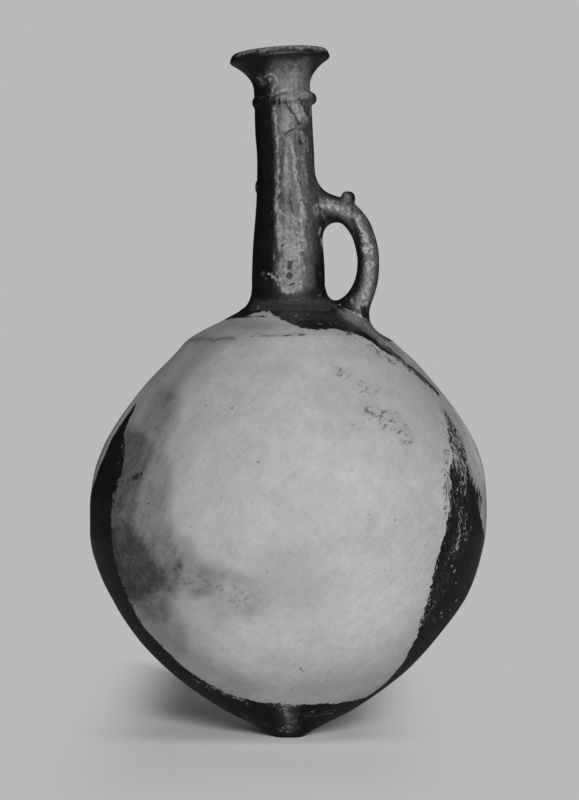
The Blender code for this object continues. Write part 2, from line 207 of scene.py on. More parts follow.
def normals_of(grid):
    """Unit normals of a grid of points, outwards for an outline that runs upwards outside."""
    along = np.gradient(grid, axis=0)
    across = np.roll(grid, -1, axis=1) - np.roll(grid, 1, axis=1)
    out = np.cross(across, along)
    return out / np.maximum(np.linalg.norm(out, axis=-1, keepdims=True), SAME * SAME)


def grid_piece(name, grid, first_pole=None, last_pole=None):
    """Mesh of a grid that is closed round its axis, its ends joined to each other or to poles."""
    rows, columns = grid.shape[:2]
    points = grid.reshape(-1, 3).tolist()
    faces = []
    joined = list(zip(range(rows - 1), range(1, rows)))
    if first_pole is None:
        joined.append((rows - 1, 0))
    for low, high in joined:
        for column in range(columns):
            after = (column + 1) % columns
            faces.append((
                low * columns + column, low * columns + after,
                high * columns + after, high * columns + column,
            ))
    for pole, row in ((first_pole, 0), (last_pole, rows - 1)):
        if pole is not None:
            points.append(list(pole))
            for column in range(columns):
                edge = (row * columns + column, row * columns + (column + 1) % columns)
                faces.append((len(points) - 1, *(edge[::-1] if row == 0 else edge)))
    mesh = bpy.data.meshes.new(name)
    mesh.from_pydata(points, [], faces)
    mesh.shade_smooth()
    mesh.set_sharp_from_angle(angle=SHARP)
    return linked(name, mesh)


def linked(name, data):
    thing = bpy.data.objects.new(name, data)
    bpy.context.scene.collection.objects.link(thing)
    return thing


def mesh_from(shape, name):
    mesh = bpy.data.meshes.new(name)
    shape.to_mesh(mesh)
    shape.free()
    return mesh


def grid_skin(grid):
    """A helper with a piece's outer side alone, to cast rays on."""
    return grid_piece("helper", grid, grid[0].mean(axis=0), grid[-1].mean(axis=0))


def vectors(items, name):
    flat = np.empty(len(items) * 3)
    items.foreach_get(name, flat)
    return flat.reshape(-1, 3)


def places_of(piece):
    return vectors(piece.data.vertices, "co")


def tree_of(*pieces):
    return BVHTree.FromPolygons(*gathered(pieces))


def store(piece, name, values):
    layer = piece.data.attributes.new(name, "FLOAT", "POINT")
    layer.data.foreach_set("value", np.asarray(values, np.float32))


# Body

BODY_STEP = 2.3 * MM
SEAM_STEP = 0.5 * MM
SEAM_LOW, SEAM_HIGH = 0.262, 0.274  # heights between which the rows lie closer
INNER_ROWS = 4  # outer rows for each inner one
WALL = 6.2 * MM
FLOOR = 18 * MM  # height of the floor inside
BODY_EDGE = 30 * MM  # radius where the body's skin turns in, under the foot of the neck
EDGE_ROOM = 2 * MM  # without rows of the solids, next to that edge
NEARLY = 0.99  # of a step
HELD_FOOT = 12 * MM  # from the floor and from the skin's edge, where bumps fade in
HELD_EDGE = 14 * MM
FLOOR_SHARES = (0.7, 0.35)  # radii of the rings on the inner floor
# Height, and how far the body's rings lie to the right there, in mm: it isn't quite round
LEANING_RINGS = (
    (0, 0), (40, -0.2), (65, -0.7), (92, 0.3), (123, -0.8), (160, -0.1), (190, 1.0), (215, 1.6),
    (238, 1.3), (252, 2.0), (268, 0.4), (280, 0),
)
WIDEST = cad_box[1][0] - 0.05 * MM  # both just inside the box of the solids
TOP = cad_box[1][2] - 0.02 * MM
WOBBLE = 0.45 * MM
WOBBLE_SIZE = 55 * MM
DIMPLE = 0.10 * MM
DIMPLE_SIZE = 13 * MM


def body_line():
    """Outline of the body's skin, from the edge of its foot to where it turns in."""
    rows = outline_rows(BODY_PIECES, BODY_AXIS, 1)
    rows = [row for row in rows if row[0] > BODY_EDGE + EDGE_ROOM or row[1] < SEAM_LOW]
    slope = (rows[-1][1] - rows[-2][1]) / (rows[-1][0] - rows[-2][0])
    rows.append((BODY_EDGE, rows[-1][1] + (BODY_EDGE - rows[-1][0]) * slope))
    line = smooth_line(rows, SEAM_STEP)
    kept = [line[0]]
    for place in line[1:]:
        step = SEAM_STEP if SEAM_LOW < place[1] < SEAM_HIGH else BODY_STEP
        if math.dist(kept[-1], place) >= step * NEARLY:
            kept.append(place)
    return np.array(kept)


def body_grid():
    line = body_line()
    heights, offsets = np.array(LEANING_RINGS).T * MM
    grid = np.array([
        ring(BODY_COLUMNS, radius, height, middle=np.interp(height, heights, offsets))
        for radius, height in line
    ])
    held = smooth(0, HELD_FOOT, line[:, 1]) * smooth(BODY_EDGE, BODY_EDGE + HELD_EDGE, line[:, 0])
    bumps = WOBBLE * roughly(grid, WOBBLE_SIZE, 1) + DIMPLE * roughly(grid, DIMPLE_SIZE, 2)
    grid = grid + normals_of(grid) * (bumps * held[:, None])[..., None]
    away = np.linalg.norm(grid[..., :2], axis=-1, keepdims=True)
    grid[..., :2] *= np.minimum(1, WIDEST / away)
    return grid


def clay_body():
    """Body's skin, with its wall's inner side and its floor, and the grid of its outer side."""
    outer = body_grid()
    wall = outer - normals_of(outer) * WALL
    inner = wall[[row[0, 2] > FLOOR + WALL for row in wall]][::-INNER_ROWS]
    middle = inner[-1].mean(axis=0)
    floor = [
        middle + (inner[-1] - middle) * share - [0, 0, (1 - share**2) * WALL] for share in FLOOR_SHARES
    ]
    grid = np.vstack([outer, inner, floor])
    return grid_piece("clay_body", grid, first_pole=(0, 0, 0), last_pole=middle - [0, 0, WALL]), outer


# Neck and mouth

NECK_STEP = 0.8 * MM
BORE_STEP = 3 * MM
TURN_REACH = 4 * MM  # from the joint, in which the rings turn to the mouth's axis
JOINT_HIDDEN = 8 * MM  # of the tube's outline under the joint, which the ring covers
FLARE_REACH = (6 * MM, 22 * MM)  # above the joint, where the facets fade
FLARE_FADE = 0.8
HELD_ROWS = (20, 14)  # at the neck's foot and lip, where bumps fade
SPIGOT = (22 * MM, -8 * MM)  # radius and height of the skin's ring inside the body
FILLET_OUT = 10 * MM  # of the clay smeared round the foot of the neck
FILLET_UP = 8.5 * MM
FILLET_ROWS = 22
# Height above the root, how far the neck's rings lie to the right there, and how much wider they
# are, in mm
NECK_SWAY = (
    (0, 0.2, 0.2), (18, 0.6, 0.7), (45, 0.8, 0.4), (66, 0.8, 0), (100, 0.85, 0), (115, 0.4, 0.3),
    (130, 0.3, 0.3), (142, 0.1, 0), (170, 0, 0),
)
RING_HALF_HEIGHT = 3.3 * MM
RING_PROUD = 2.6 * MM
RING_SHIFT = 1.1 * MM  # towards the handle
RING_DROP = 0.3 * MM  # of the ring's middle, below the joint
RING_RISE = 0.7 * MM  # of the ring's side towards the handle
FACET_FLATNESS = 0.55  # share of the way from a round neck to flat facets
# Azimuth in degrees of the edges between the strokes that the neck was smoothed with
FACET_EDGES = (-178, -141, -118, -83, -55, -25, -3, 19, 47, 74, 103, 139)
FACET_SWAY = math.radians(5)
FACET_SWAY_SIZE = 45 * MM
NECK_WOBBLE = 0.22 * MM
NECK_WOBBLE_SIZE = 22 * MM


def bent(radius, height):
    """One row of the neck or mouth, square to the bent axis at a height above the neck's root."""
    turning = float(smooth(-TURN_REACH, TURN_REACH, height - NECK_LENGTH))
    sway = smooth_line(NECK_SWAY, 1.0) * MM
    shift = np.interp(height, sway[:, 0], sway[:, 1])
    wider = radius + np.interp(height, sway[:, 0], sway[:, 2])
    low = ring(NECK_COLUMNS, wider, height, NECK_AXIS, shift)
    high = ring(NECK_COLUMNS, wider, height - NECK_LENGTH, MOUTH_AXIS, shift)
    return low + (high - low) * turning


def facet_shares(height):
    """Radius of the faceted neck at one height, as shares of the round one's, by column."""
    sway = FACET_SWAY * noise.noise(Vector((0, 0, height / FACET_SWAY_SIZE)))
    edges = np.radians(FACET_EDGES + (FACET_EDGES[0] + 360,))
    shares = np.ones(NECK_COLUMNS)
    for start, end in zip(edges, edges[1:]):
        place = (angles(NECK_COLUMNS) - start - sway) % math.tau
        half = (end - start) / 2
        inside = place < 2 * half
        chord = math.cos(half) / np.cos(place[inside] - half)
        shares[inside] = 1 + (chord - 1) * FACET_FLATNESS
    return shares


def neck_lines():
    """Outlines of neck and mouth above the fillet, outside and inside, by height above the root."""
    joint = NECK_LENGTH - JOINT_HIDDEN
    lines = []
    for side, lowest in ((1, FILLET_UP), (-1, 0)):
        tube = outline_rows(["neck_tube"], NECK_AXIS, side)
        tube = [row for row in tube if lowest < row[1] < joint]
        mouth = outline_rows(["mouth"], MOUTH_AXIS, side)
        lines.append(tube + [(radius, height + NECK_LENGTH) for radius, height in mouth if height > 0])
    return lines


def fillet_rows(foot, shoulder_tree):
    """Rows of the hollow curve from the shoulder up to the foot of the neck's wall."""
    rows = []
    for turn in np.linspace(0, math.pi / 2, FILLET_ROWS)[:-1]:
        upper = bent(foot[0] + FILLET_OUT * (1 - math.sin(turn)), foot[1])
        lower = upper.copy()
        for place in lower:
            start = Vector((place[0], place[1], FAR))
            place[2] = shoulder_tree.ray_cast(start, Vector((0, 0, -1)))[0].z
        rows.append(lower + (upper - lower) * (1 - math.cos(turn)))
    return rows


def neck_grid(shoulder_tree):
    """Outer skin of neck and mouth, from the shoulder up over the lip, then the bore's rows."""
    outside, inside = neck_lines()
    wall_line = smooth_line(outside, NECK_STEP)
    rows = fillet_rows(wall_line[0], shoulder_tree)
    for radius, height in wall_line:
        flared = smooth(*FLARE_REACH, height - NECK_LENGTH)
        shares = 1 + (facet_shares(height) - 1) * (1 - FLARE_FADE * flared)
        side = np.sin(angles(NECK_COLUMNS))
        across_ring = (height - NECK_LENGTH + RING_DROP - RING_RISE * side) / RING_HALF_HEIGHT
        proud = (RING_PROUD + RING_SHIFT * side) * np.exp(-across_ring**4)
        rows.append(bent(radius * shares + proud, height))
    rows = np.array(rows)
    number = np.arange(len(rows))
    held = smooth(0, HELD_ROWS[0], number) * smooth(0, HELD_ROWS[1], len(rows) - number)
    bumps = NECK_WOBBLE * roughly(rows, NECK_WOBBLE_SIZE, 3) * held[:, None]
    outer = rows + normals_of(rows) * bumps[..., None]
    outer[..., 2] = np.minimum(outer[..., 2], TOP)
    bore = np.array([bent(*place) for place in smooth_line(inside, BORE_STEP)[::-1]])
    bore[..., 2] = np.minimum(bore[..., 2], TOP)
    return outer, bore


def clay_neck(body_outer):
    outer, bore = neck_grid(tree_of(body_outer))
    spigot = ring(NECK_COLUMNS, *SPIGOT, NECK_AXIS)
    under = outer[0] - [0, 0, WALL / 3]
    return grid_piece("clay_neck", np.vstack([outer, bore, spigot[None], under[None]])), outer


# Handle

# Middle of the handle and half its thickness, in pixels of the photograph, from neck to shoulder
HANDLE_PIXELS = (
    (306, 205, 13.0), (320, 207.3, 12.9), (335.1, 208.8, 12.5), (345, 211.8, 12.0),
    (352.6, 217.9, 11.6), (358.8, 226, 11.4), (363, 234.5, 11.1), (367, 249, 11.1),
    (368.3, 262, 10.9), (367.2, 277, 11.3), (364.4, 287.5, 11.8), (360, 297.5, 12.8),
    (355.5, 306, 13.8), (351, 315, 14.6), (347, 324, 15.0),
)
HANDLE_SIDES = 40
HANDLE_STEP = 1.2 * MM
KNOB_PIXELS = (
    (346.5, 213, 7.4), (347.6, 202, 7.3), (348.2, 196.5, 7.0), (348.6, 193, 5.6), (348.8, 191.5, 2.6),
)
HANDLE_VOXEL = 0.6 * MM
HANDLE_SMOOTHING = 6
BLEND = 17 * MM  # reach of the smeared clay that joins the handle to neck and shoulder
OVERLAP = 2 * MM  # how far each skin runs on under the other
SINK = 0.3 * MM
BLEND_ROUNDS = 5
LEAST_SLOPE = 0.2  # keeps the moves short where the two skins face each other


def swept(name, stations):
    """Closed round sweep along stations of a middle and a radius in pixels, in the plane Y = 0."""
    scale = (on_plane((1, 0)) - on_plane((0, 0))).length
    knots = [(*on_plane(station[:2]), station[2] * scale) for station in stations]
    line = smooth_line(knots, HANDLE_STEP)
    along = np.gradient(line[:, :3], axis=0)
    along /= np.linalg.norm(along, axis=1, keepdims=True)
    outward = np.stack([along[:, 2], np.zeros(len(line)), -along[:, 0]], axis=1)[:, None]
    turn = angles(HANDLE_SIDES)[None, :, None]
    spokes = outward * np.cos(turn) + np.array([0.0, 1.0, 0.0]) * np.sin(turn)
    grid = line[:, None, :3] + spokes * line[:, None, 3:]
    piece = grid_piece(name, grid, line[0, :3], line[-1, :3])
    outwards(piece.data)
    return piece


def clay_handle():
    """Loop handle and its knob as one smoothed skin, whose ends lie inside what carries them."""
    loop, knob = swept("clay_handle", HANDLE_PIXELS), swept("knob", KNOB_PIXELS)
    shape = bmesh.new()
    shape.from_mesh(loop.data)
    shape.from_mesh(knob.data)
    shape.to_mesh(loop.data)
    shape.free()
    bpy.data.objects.remove(knob)
    remesh = loop.modifiers.new("clay", "REMESH")
    remesh.mode = "VOXEL"
    remesh.voxel_size = HANDLE_VOXEL
    remesh.use_smooth_shade = True
    soften = loop.modifiers.new("soft", "SMOOTH")
    soften.factor = 0.5
    soften.iterations = HANDLE_SMOOTHING
    graph = bpy.context.evaluated_depsgraph_get()
    mesh = bpy.data.meshes.new_from_object(loop.evaluated_get(graph))
    loop.modifiers.clear()
    loop.data = mesh
    return loop


def signed(tree, place):
    """Distance from a skin, negative under it, and the direction away from it."""
    near, normal, _, _ = tree.find_nearest(place)
    way = place - near
    side = 1 if way.dot(normal) >= 0 else -1
    distance = way.length
    return side * distance, way * (side / distance) if distance > SAME / 10 else normal


def melted(place, own, other):
    """The nearest point of the surface that runs smoothly from one skin into the other."""
    for _ in range(BLEND_ROUNDS):
        first, first_way = signed(own, place)
        second, second_way = signed(other, place)
        nearness = max(BLEND - abs(first - second), 0) / BLEND
        share = nearness / 2 if first < second else 1 - nearness / 2
        way = first_way.lerp(second_way, share)
        value = min(first, second) - nearness**2 * BLEND / 4
        place = place - way * (value / max(way.length_squared, LEAST_SLOPE))
    return place, way.normalized()


def melt(piece, own, other, count=None):
    """Moves a piece's outer points near the other skin onto the smeared clay that joins the two."""
    for vertex in piece.data.vertices[:count]:
        near = other.find_nearest(vertex.co, BLEND)
        if near[0] is None:
            continue
        away = signed(other, vertex.co)[0]
        if away > -OVERLAP:
            place, way = melted(vertex.co.copy(), own, other)
            vertex.co = place - way * (SINK * min(max(-away / OVERLAP, 0), 1))


def outwards(mesh):
    shape = bmesh.new()
    shape.from_mesh(mesh)
    bmesh.ops.recalc_face_normals(shape, faces=shape.faces)
    shape.to_mesh(mesh)
    shape.free()


# Pellet

PELLET_PIXEL = (256.5, 187)  # its middle, on the left edge of the neck
PELLET_RADIUS = 4.2 * MM
PELLET_PROUD = 1.2 * MM


def clay_pellet(neck_tree):
    """Flattened pellet pressed on the side of the neck away from the handle."""
    start = on_plane(PELLET_PIXEL) - Vector((PELLET_RADIUS * 4, 0, 0))
    foot, normal, _, _ = neck_tree.ray_cast(start, Vector((1, 0, 0)))
    shape = bmesh.new()
    bmesh.ops.create_icosphere(shape, subdivisions=4, radius=1)
    turn = normal.to_track_quat("Z", "Y").to_matrix().to_4x4()
    size = Matrix.Diagonal((PELLET_RADIUS, PELLET_RADIUS, PELLET_PROUD, 1))
    shape.transform(Matrix.Translation(foot) @ turn @ size)
    pellet = linked("clay_pellet", mesh_from(shape, "clay_pellet"))
    pellet.data.shade_smooth()
    return pellet


# Places on the skins


def unrolled(places, axis=BODY_AXIS):
    """Azimuth in degrees and height along the axis of each point."""
    turn = np.array(axis.inverted().to_3x3())
    local = (np.asarray(places, float) - np.array(axis.translation)) @ turn.T
    return np.stack([np.degrees(np.arctan2(local[:, 0], -local[:, 1])), local[:, 2]], axis=1)


def seen(pixels, tree):
    """Points of a skin that pixels of the photograph show, without those beside it."""
    hits = [tree.ray_cast(*ray_of(pixel))[0] for pixel in pixels]
    return [tuple(hit) for hit in hits if hit is not None]


def distances(places, line):
    """Distance from each place to the nearest point of a line."""
    lookup = KDTree(len(line))
    for index, point in enumerate(line):
        lookup.insert(point, index)
    lookup.balance()
    return np.array([lookup.find(place)[2] for place in places.tolist()])


def pairs(numbers):
    """Points of a line whose two coordinates follow each other by turns."""
    return list(zip(numbers[::2], numbers[1::2]))


def marked(places, tree, strokes):
    """Amount of soft strokes on a skin, each a half width in mm, a strength and a line of pixels."""
    total = np.zeros(len(places))
    for width, strength, *numbers in strokes:
        pixels = pairs(numbers)
        line = seen(smooth_line(pixels, 1.0) if len(pixels) > 1 else pixels, tree)
        total += strength * np.exp(-((distances(places, line) / (width * MM)) ** 2)) * (1 - np.abs(total))
    return total


# Size in mm of the uneven edges of what is drawn on pixels and on places, their reach, and a seed
PIXEL_WARPS = ((9, 2.2, 11), (3.5, 1.8, 13), (1.5, 1.0, 15))
PLACE_WARPS = ((20, 1.4 * MM, 31), (7, 1.2 * MM, 34), (3, 0.9 * MM, 37))
IN_SIGHT = (-0.1, 0.08)  # cosines of the angle to the camera between which a point comes into sight


def pixels_of(places):
    """Pixel of the photograph that shows each place."""
    local = (places - np.array(EYE)) @ np.array(CAMERA_TURN)
    across, up = (local[:, :2] / -local[:, 2:] * FOCUS).T
    return np.stack([IMAGE_WIDTH / 2 + across, IMAGE_HEIGHT / 2 - up], axis=1)


def moved_about(values, warps, places=None):
    """Values moved a little by the noise at their own or other places."""
    for size, reach, seed in warps:
        where = values if places is None else places
        moves = [roughly(where, size * MM, seed + extra) for extra in range(values.shape[1])]
        values = values + np.stack(moves, axis=1) * reach
    return values


def facing(piece, count=None):
    """How far each point faces the photograph's camera, from 0 to 1, and 0 from the count on."""
    to_eye = np.array(EYE) - places_of(piece)
    toward = (vectors(piece.data.vertex_normals, "vector") * to_eye).sum(axis=1)
    shown = smooth(*IN_SIGHT, toward / np.linalg.norm(to_eye, axis=1))
    if count:
        shown[count:] = 0
    return shown


def to_edges(outline, points, closed=True):
    """Distance from each point to the nearest edge of an outline, all in pixels."""
    outline = np.array(outline, float)
    ends = np.roll(outline, -1, axis=0) if closed else outline[1:]
    away = np.full(len(points), np.inf)
    for start, end in zip(outline, ends):
        way = end - start
        share = np.clip(((points - start) @ way) / max(way @ way, SAME), 0, 1)
        away = np.minimum(away, np.linalg.norm(points - start - share[:, None] * way, axis=1))
    return away


def painted(pixels, strokes, patches=()):
    """Amount of soft strokes and patches at each pixel.

    A stroke is its half width in pixels, its strength and its line, and a patch the half width of
    its edge, its strength and its outline.
    """
    total = np.zeros(len(pixels))
    for width, strength, *numbers in strokes:
        line = pairs(numbers)
        away = to_edges(line, pixels, closed=len(line) == 1)
        total = np.maximum(total, strength * np.exp(-((away / width) ** 2)))
    for edge, strength, *numbers in patches:
        outline = pairs(numbers)
        away = to_edges(outline, pixels)
        signed = np.where(inside(outline, pixels), away, -away)
        total = np.maximum(total, strength * smooth(-edge, edge, signed))
    return total


def inside(outline, points):
    """Whether each point lies inside a closed outline."""
    odd = np.zeros(len(points), bool)
    x, y = points.T
    for (x0, y0), (x1, y1) in zip(outline, np.roll(outline, -1, axis=0)):
        if y0 != y1:
            crossing = (y0 > y) != (y1 > y)
            odd ^= crossing & (x < (x1 - x0) * (y - y0) / (y1 - y0) + x0)
    return odd


DEGREE_LENGTH = 2.3 * MM  # of the body's widest ring
EDGE_STEP = 1.5 * MM


def field_distance(places, tree, field):
    """Distance to the edge of a painted field, positive inside it.

    The field's outline is a line of pixels, then places round the back by azimuth and height.
    """
    pixels, back = field
    front = unrolled(seen(pairs(pixels), tree))
    knots = np.vstack([front, pairs(back), front[:1]])
    knots[:, 0] = np.degrees(np.unwrap(np.radians(knots[:, 0])))
    line = smooth_line(knots * [DEGREE_LENGTH, 1], EDGE_STEP) / [DEGREE_LENGTH, 1]
    edge = []
    for azimuth, height in line:
        way = Vector((math.sin(math.radians(azimuth)), -math.cos(math.radians(azimuth)), 0))
        hit = tree.ray_cast(way * FAR + Vector((0, 0, height)), -way)[0]
        if hit is not None:
            edge.append(tuple(hit))
    away = distances(places, edge)
    spread = unrolled(places)
    middle = line[:, 0].mean()
    spread[:, 0] = (spread[:, 0] - middle + 180) % 360 - 180 + middle
    return np.where(inside(line, spread), away, -away)


# Marks are drawn in pixels of the photograph, x and y by turns. A stroke starts with its
# half width and its strength, a patch with the half width of its edge and its strength. Widths of
# strokes on the body are in mm, those of patches and of strokes on neck and handle in pixels.

# Outlines of the light fields: pixels, then azimuth and height of places round the back
FRONT_FIELD = (
    (
        226, 320.5, 236, 318, 246, 316.5, 258, 313.3, 268, 312.6, 275, 315, 283, 320, 291, 324.5, 300,
        327.5, 314, 330.5, 332, 330.5, 346, 331.5, 358, 334.8, 378, 346.8, 406, 367, 422.8, 381.3, 434,
        391, 441, 401, 445.5, 418, 449.5, 440, 452.5, 458, 447, 478, 448.5, 505, 448.5, 516, 445, 535,
        438.6, 553.7, 431, 585, 425, 607, 407.7, 654, 396, 671, 382, 686, 368, 696, 351.5, 700, 319,
        704.5, 284, 704, 254, 700.3, 230.7, 694.6, 207.8, 683, 186, 669, 168, 652, 155, 639, 146, 630,
        139, 620, 131, 602, 121, 578, 114.5, 553, 111.5, 532, 112, 512, 115.5, 495, 120.5, 479, 124,
        463, 125.5, 448, 124.5, 433, 128.5, 421, 134, 409.5, 138, 399,
    ),
    (-97, 0.245, -98, 0.268, -75, 0.2795),
)
LEFT_FIELD = (
    (138.5, 399, 132.5, 408, 125, 418.5, 113.6, 436, 104.4, 455.8, 98.7, 469.6, 95.3, 480),
    (
        -86, 0.155, -86.5, 0.138, -92, 0.118, -104, 0.095, -122, 0.068, -142, 0.046, -160, 0.043, -174,
        0.07, -182, 0.115, -184, 0.165, -182, 0.21, -174, 0.245, -158, 0.266, -140, 0.274, -118,
        0.2795, -98, 0.277,
    ),
)
RIGHT_FIELD = (
    (
        384, 341, 394.6, 351.4, 406, 361.4, 419.5, 373, 429.5, 383, 437, 391, 440, 398, 443.5, 409,
        449, 417, 455, 426, 461, 438, 465.5, 450, 468, 463, 475, 479, 480, 492, 481.5, 504, 480.5, 514,
        482.5, 526, 484.4, 536,
    ),
    (
        97, 0.118, 108, 0.085, 124, 0.056, 142, 0.042, 157, 0.06, 166, 0.1, 169, 0.15, 168, 0.2, 163,
        0.238, 150, 0.258, 125, 0.268, 104, 0.267, 90, 0.265,
    ),
)
SMOKE = (
    (4, 0.22, 206, 573, 222, 574, 236, 577), (3, 0.34, 191, 594, 200, 593, 209, 592),
    (4, 0.14, 250, 609), (2.6, 0.3, 176, 567), (13, 0.28, 206, 348, 188, 368, 172, 388),
    (6, 0.2, 198, 342, 250, 340), (8, 0.24, 232, 324, 262, 327), (9, 0.2, 185, 650, 212, 668, 245, 684),
    (6, 0.45, 356, 318, 374, 331, 394, 347), (4, 0.22, 396, 350, 412, 364, 430, 382),
    (5, 0.35, 446, 414, 456, 430, 462, 442), (6, 0.1, 222, 388, 232, 392), (7, 0.1, 300, 690, 370, 680),
    (2.6, 0.5, 190, 340.5, 212, 339, 234, 338.5), (1.6, 0.4, 262, 336, 284, 336, 302, 334.5),
    (20, 0.1, 268, 585, 300, 590, 330, 600),
)
# Fire cloud on the clay's left side together with painted shade on the side away from the light
SMOKE_AND_SHADE_PATCHES = (
    (
        8, 0.8, 126, 426, 140, 428, 152, 436, 158, 447, 154, 462, 146, 480, 140, 498, 138, 520, 142,
        545, 100, 545, 100, 510, 108, 478, 118, 452,
    ),
    (
        9, 0.5, 153, 402, 160, 390, 172, 386, 180, 398, 176, 418, 168, 436, 165, 452, 172, 466, 172,
        485, 170, 505, 174, 530, 178, 560, 110, 560, 112, 480, 128, 438, 146, 416,
    ),
    (
        13, 0.95, 96, 517, 128, 517, 142, 530, 152, 544, 160, 556, 168, 565, 174, 575, 174, 586, 163,
        595, 152, 604, 140, 608, 112, 600,
    ),
    (
        11, 0.66, 134, 524, 150, 530, 166, 522, 176, 538, 187, 556, 189, 572, 182, 586, 172, 600, 174,
        618, 166, 628, 140, 620, 118, 560,
    ),
    (9, 0.42, 168, 530, 188, 540, 200, 556, 216, 566, 226, 574, 222, 590, 196, 596, 178, 586),
    (9, 0.34, 150, 608, 176, 608, 190, 640, 182, 654, 162, 646, 148, 628),
    (9, 0.2, 205, 600, 235, 575, 262, 580, 270, 618, 215, 626),
)
# Painted light and shade in the clay's colour: lighter (positive) along the left and right edges and
# at the bottom, darker (negative) across the brightly lit front
PAINTED_LIGHT_AND_SHADE = (
    (25, -0.05, 360, 430, 430, 430), (36, 0.34, 250, 650, 380, 625), (22, -0.04, 250, 560, 300, 590),
    (11, 0.6, 137, 397, 131, 404, 113, 436, 100, 466, 95, 486), (26, -0.04, 320, 480, 330, 530),
    (28, -0.09, 275, 490, 295, 505, 295, 540), (10, 0.55, 450, 400, 468, 432, 482, 470),
)
# Dusty streak beside the foot of the handle, on handle and shoulder
STREAK = (
    (
        2.2, 0.8, 337, 311, 349, 312, 364, 316.5, 378, 330, 392, 345, 385, 347, 371, 336, 358, 326, 344,
        318,
    ),
)
# Dark slip that is rubbed to a dusty grey, and painted reflection: a lighter rim along the dark
# slip's outer edges, low down on the left and right
RUBBED_AND_RIM_REFLECTION = (
    (7, 0.12, 285, 314, 312, 315, 345, 319), (6, 0.75, 352, 318, 366, 323, 382, 336),
    (6, 0.35, 350, 321, 372, 333, 395, 352, 420, 376, 436, 392),
    (6, 0.3, 484, 536, 480, 560, 466, 597, 446, 627), (5, 0.28, 94, 556, 106, 590, 124, 622, 150, 655),
    (6, 0.25, 446, 415, 455, 440, 460, 465),
    (4, 0.45, 444, 403, 455, 417, 464, 432, 469, 455, 475, 478), (6, 0.25, 285, 705, 288, 730),
)
SEAM_MARKS = (  # dark lines and dabs
    (1.2, 0.35, 193, 340.3, 204, 340), (1.5, 0.65, 205, 339.2, 213, 338.6),
    (1.5, 0.62, 218, 338.8, 225, 338, 234, 338.6),
    (0.6, 0.7, 245, 336.6, 262, 336, 285, 335.6, 303, 334.8), (1, 0.8, 284, 335.8, 290, 335.4),
    (1.3, 0.95, 300, 335.2, 304, 334.4),
    (1.7, 1, 230, 319, 240, 317.5, 249, 316.8, 256, 315.9, 265, 316.6), (2.2, 0.35, 240, 325, 246, 326),
    (2.2, 0.75, 347, 334, 351, 333), (2, 0.6, 357, 333, 361, 337), (1.2, 0.4, 343, 342, 350, 341),
    (1, 0.85, 438, 395, 450, 407, 458, 417, 465, 427),
)
# Small dark and faint spots on the clay, and light ones on the slip: pixel and radius in mm
DARK_SPOTS = (
    (136.8, 476.6, 2.3), (134.2, 478.6, 1.6), (141.2, 474, 1.5), (148.3, 503.6, 0.8),
    (300.6, 668.6, 0.9), (302.2, 670.6, 0.8),
)
FAINT_SPOTS = (
    (257, 333.4, 1), (260, 333.6, 0.9), (206, 405.5, 0.9), (156, 427, 0.8), (191.5, 526.5, 0.6),
    (267, 572, 0.6), (180, 566, 2), (175, 570, 1.6), (258, 462, 1.1), (232, 408, 1.2), (352, 470, 0.9),
    (395, 520, 1),
)
LIGHT_SPOTS = (
    (456.2, 600.5, 1.1), (457, 548.5, 1), (441.2, 613, 0.9), (441.6, 617, 0.8), (450, 610, 0.7),
    (450.5, 616, 0.7), (452, 566, 0.8), (456, 583, 0.7),
)
FLECK_ZONES = (  # of the clay, with dark flecks
    (4, 1, 335, 370, 342, 374, 346, 376), (4, 0.8, 356, 381, 362, 384), (6, 0.5, 360, 393, 379, 390),
    (5, 1.1, 370, 413, 382, 414), (7, 1.1, 384, 421, 396, 421, 406, 436), (4, 0.7, 350, 427, 358, 425),
    (9, 0.25, 400, 380, 420, 405), (4, 0.9, 343, 328, 358, 338, 372, 348, 392, 362),
    (3, 1.5, 447, 452, 444, 470, 447, 500, 446, 522), (10, 0.5, 185, 580, 215, 585, 240, 600),
    (10, 0.3, 290, 690, 330, 692),
)
FLAKY_ZONES = (  # of the slip, with light chips and ragged edges
    (4, 0.45, 113, 540, 125, 590, 145, 625, 170, 655), (5, 0.3, 124, 450, 117, 480, 110, 510),
    (6, 0.75, 446, 412, 452, 430, 457, 450), (7, 1, 458, 434, 462, 455, 464, 474),
    (4, 0.9, 444, 403, 455, 418, 464, 432, 468, 452, 474, 474), (5, 1.2, 470, 474, 478, 492, 480, 505),
    (4, 0.8, 447, 436, 445, 465, 448, 500, 446, 525), (5, 0.7, 449, 470, 450, 490),
    (6, 0.9, 456, 448, 460, 470, 464, 490), (8, 0.66, 455, 490, 462, 520, 455, 550),
    (6, 0.35, 470, 505, 468, 540), (9, 0.5, 445, 575, 425, 620), (4, 0.9, 195, 681, 215, 690, 245, 702),
    (6, 0.9, 284, 707, 290, 718, 288, 730), (7, 0.5, 300, 715, 330, 713), (7, 0.45, 250, 718, 275, 730),
    (6, 0.8, 352, 322, 375, 338, 400, 360, 425, 384), (8, 0.35, 300, 318, 330, 324, 350, 326),
)
SMEARS = (  # of light clay on the slip
    (2.6, 0.85, 338, 312, 350, 319, 364, 326, 380, 338, 392, 348),
    (1.6, 0.55, 398, 354, 412, 366, 426, 380), (1.5, 0.5, 286, 323, 300, 327),
    (1.3, 0.6, 283, 316.5, 296, 315.5), (0.6, 0.9, 468, 506, 473, 511, 478, 517),
    (0.6, 0.8, 448, 578, 453, 572, 457.5, 567), (2.5, 0.6, 286, 708, 289, 722),
)
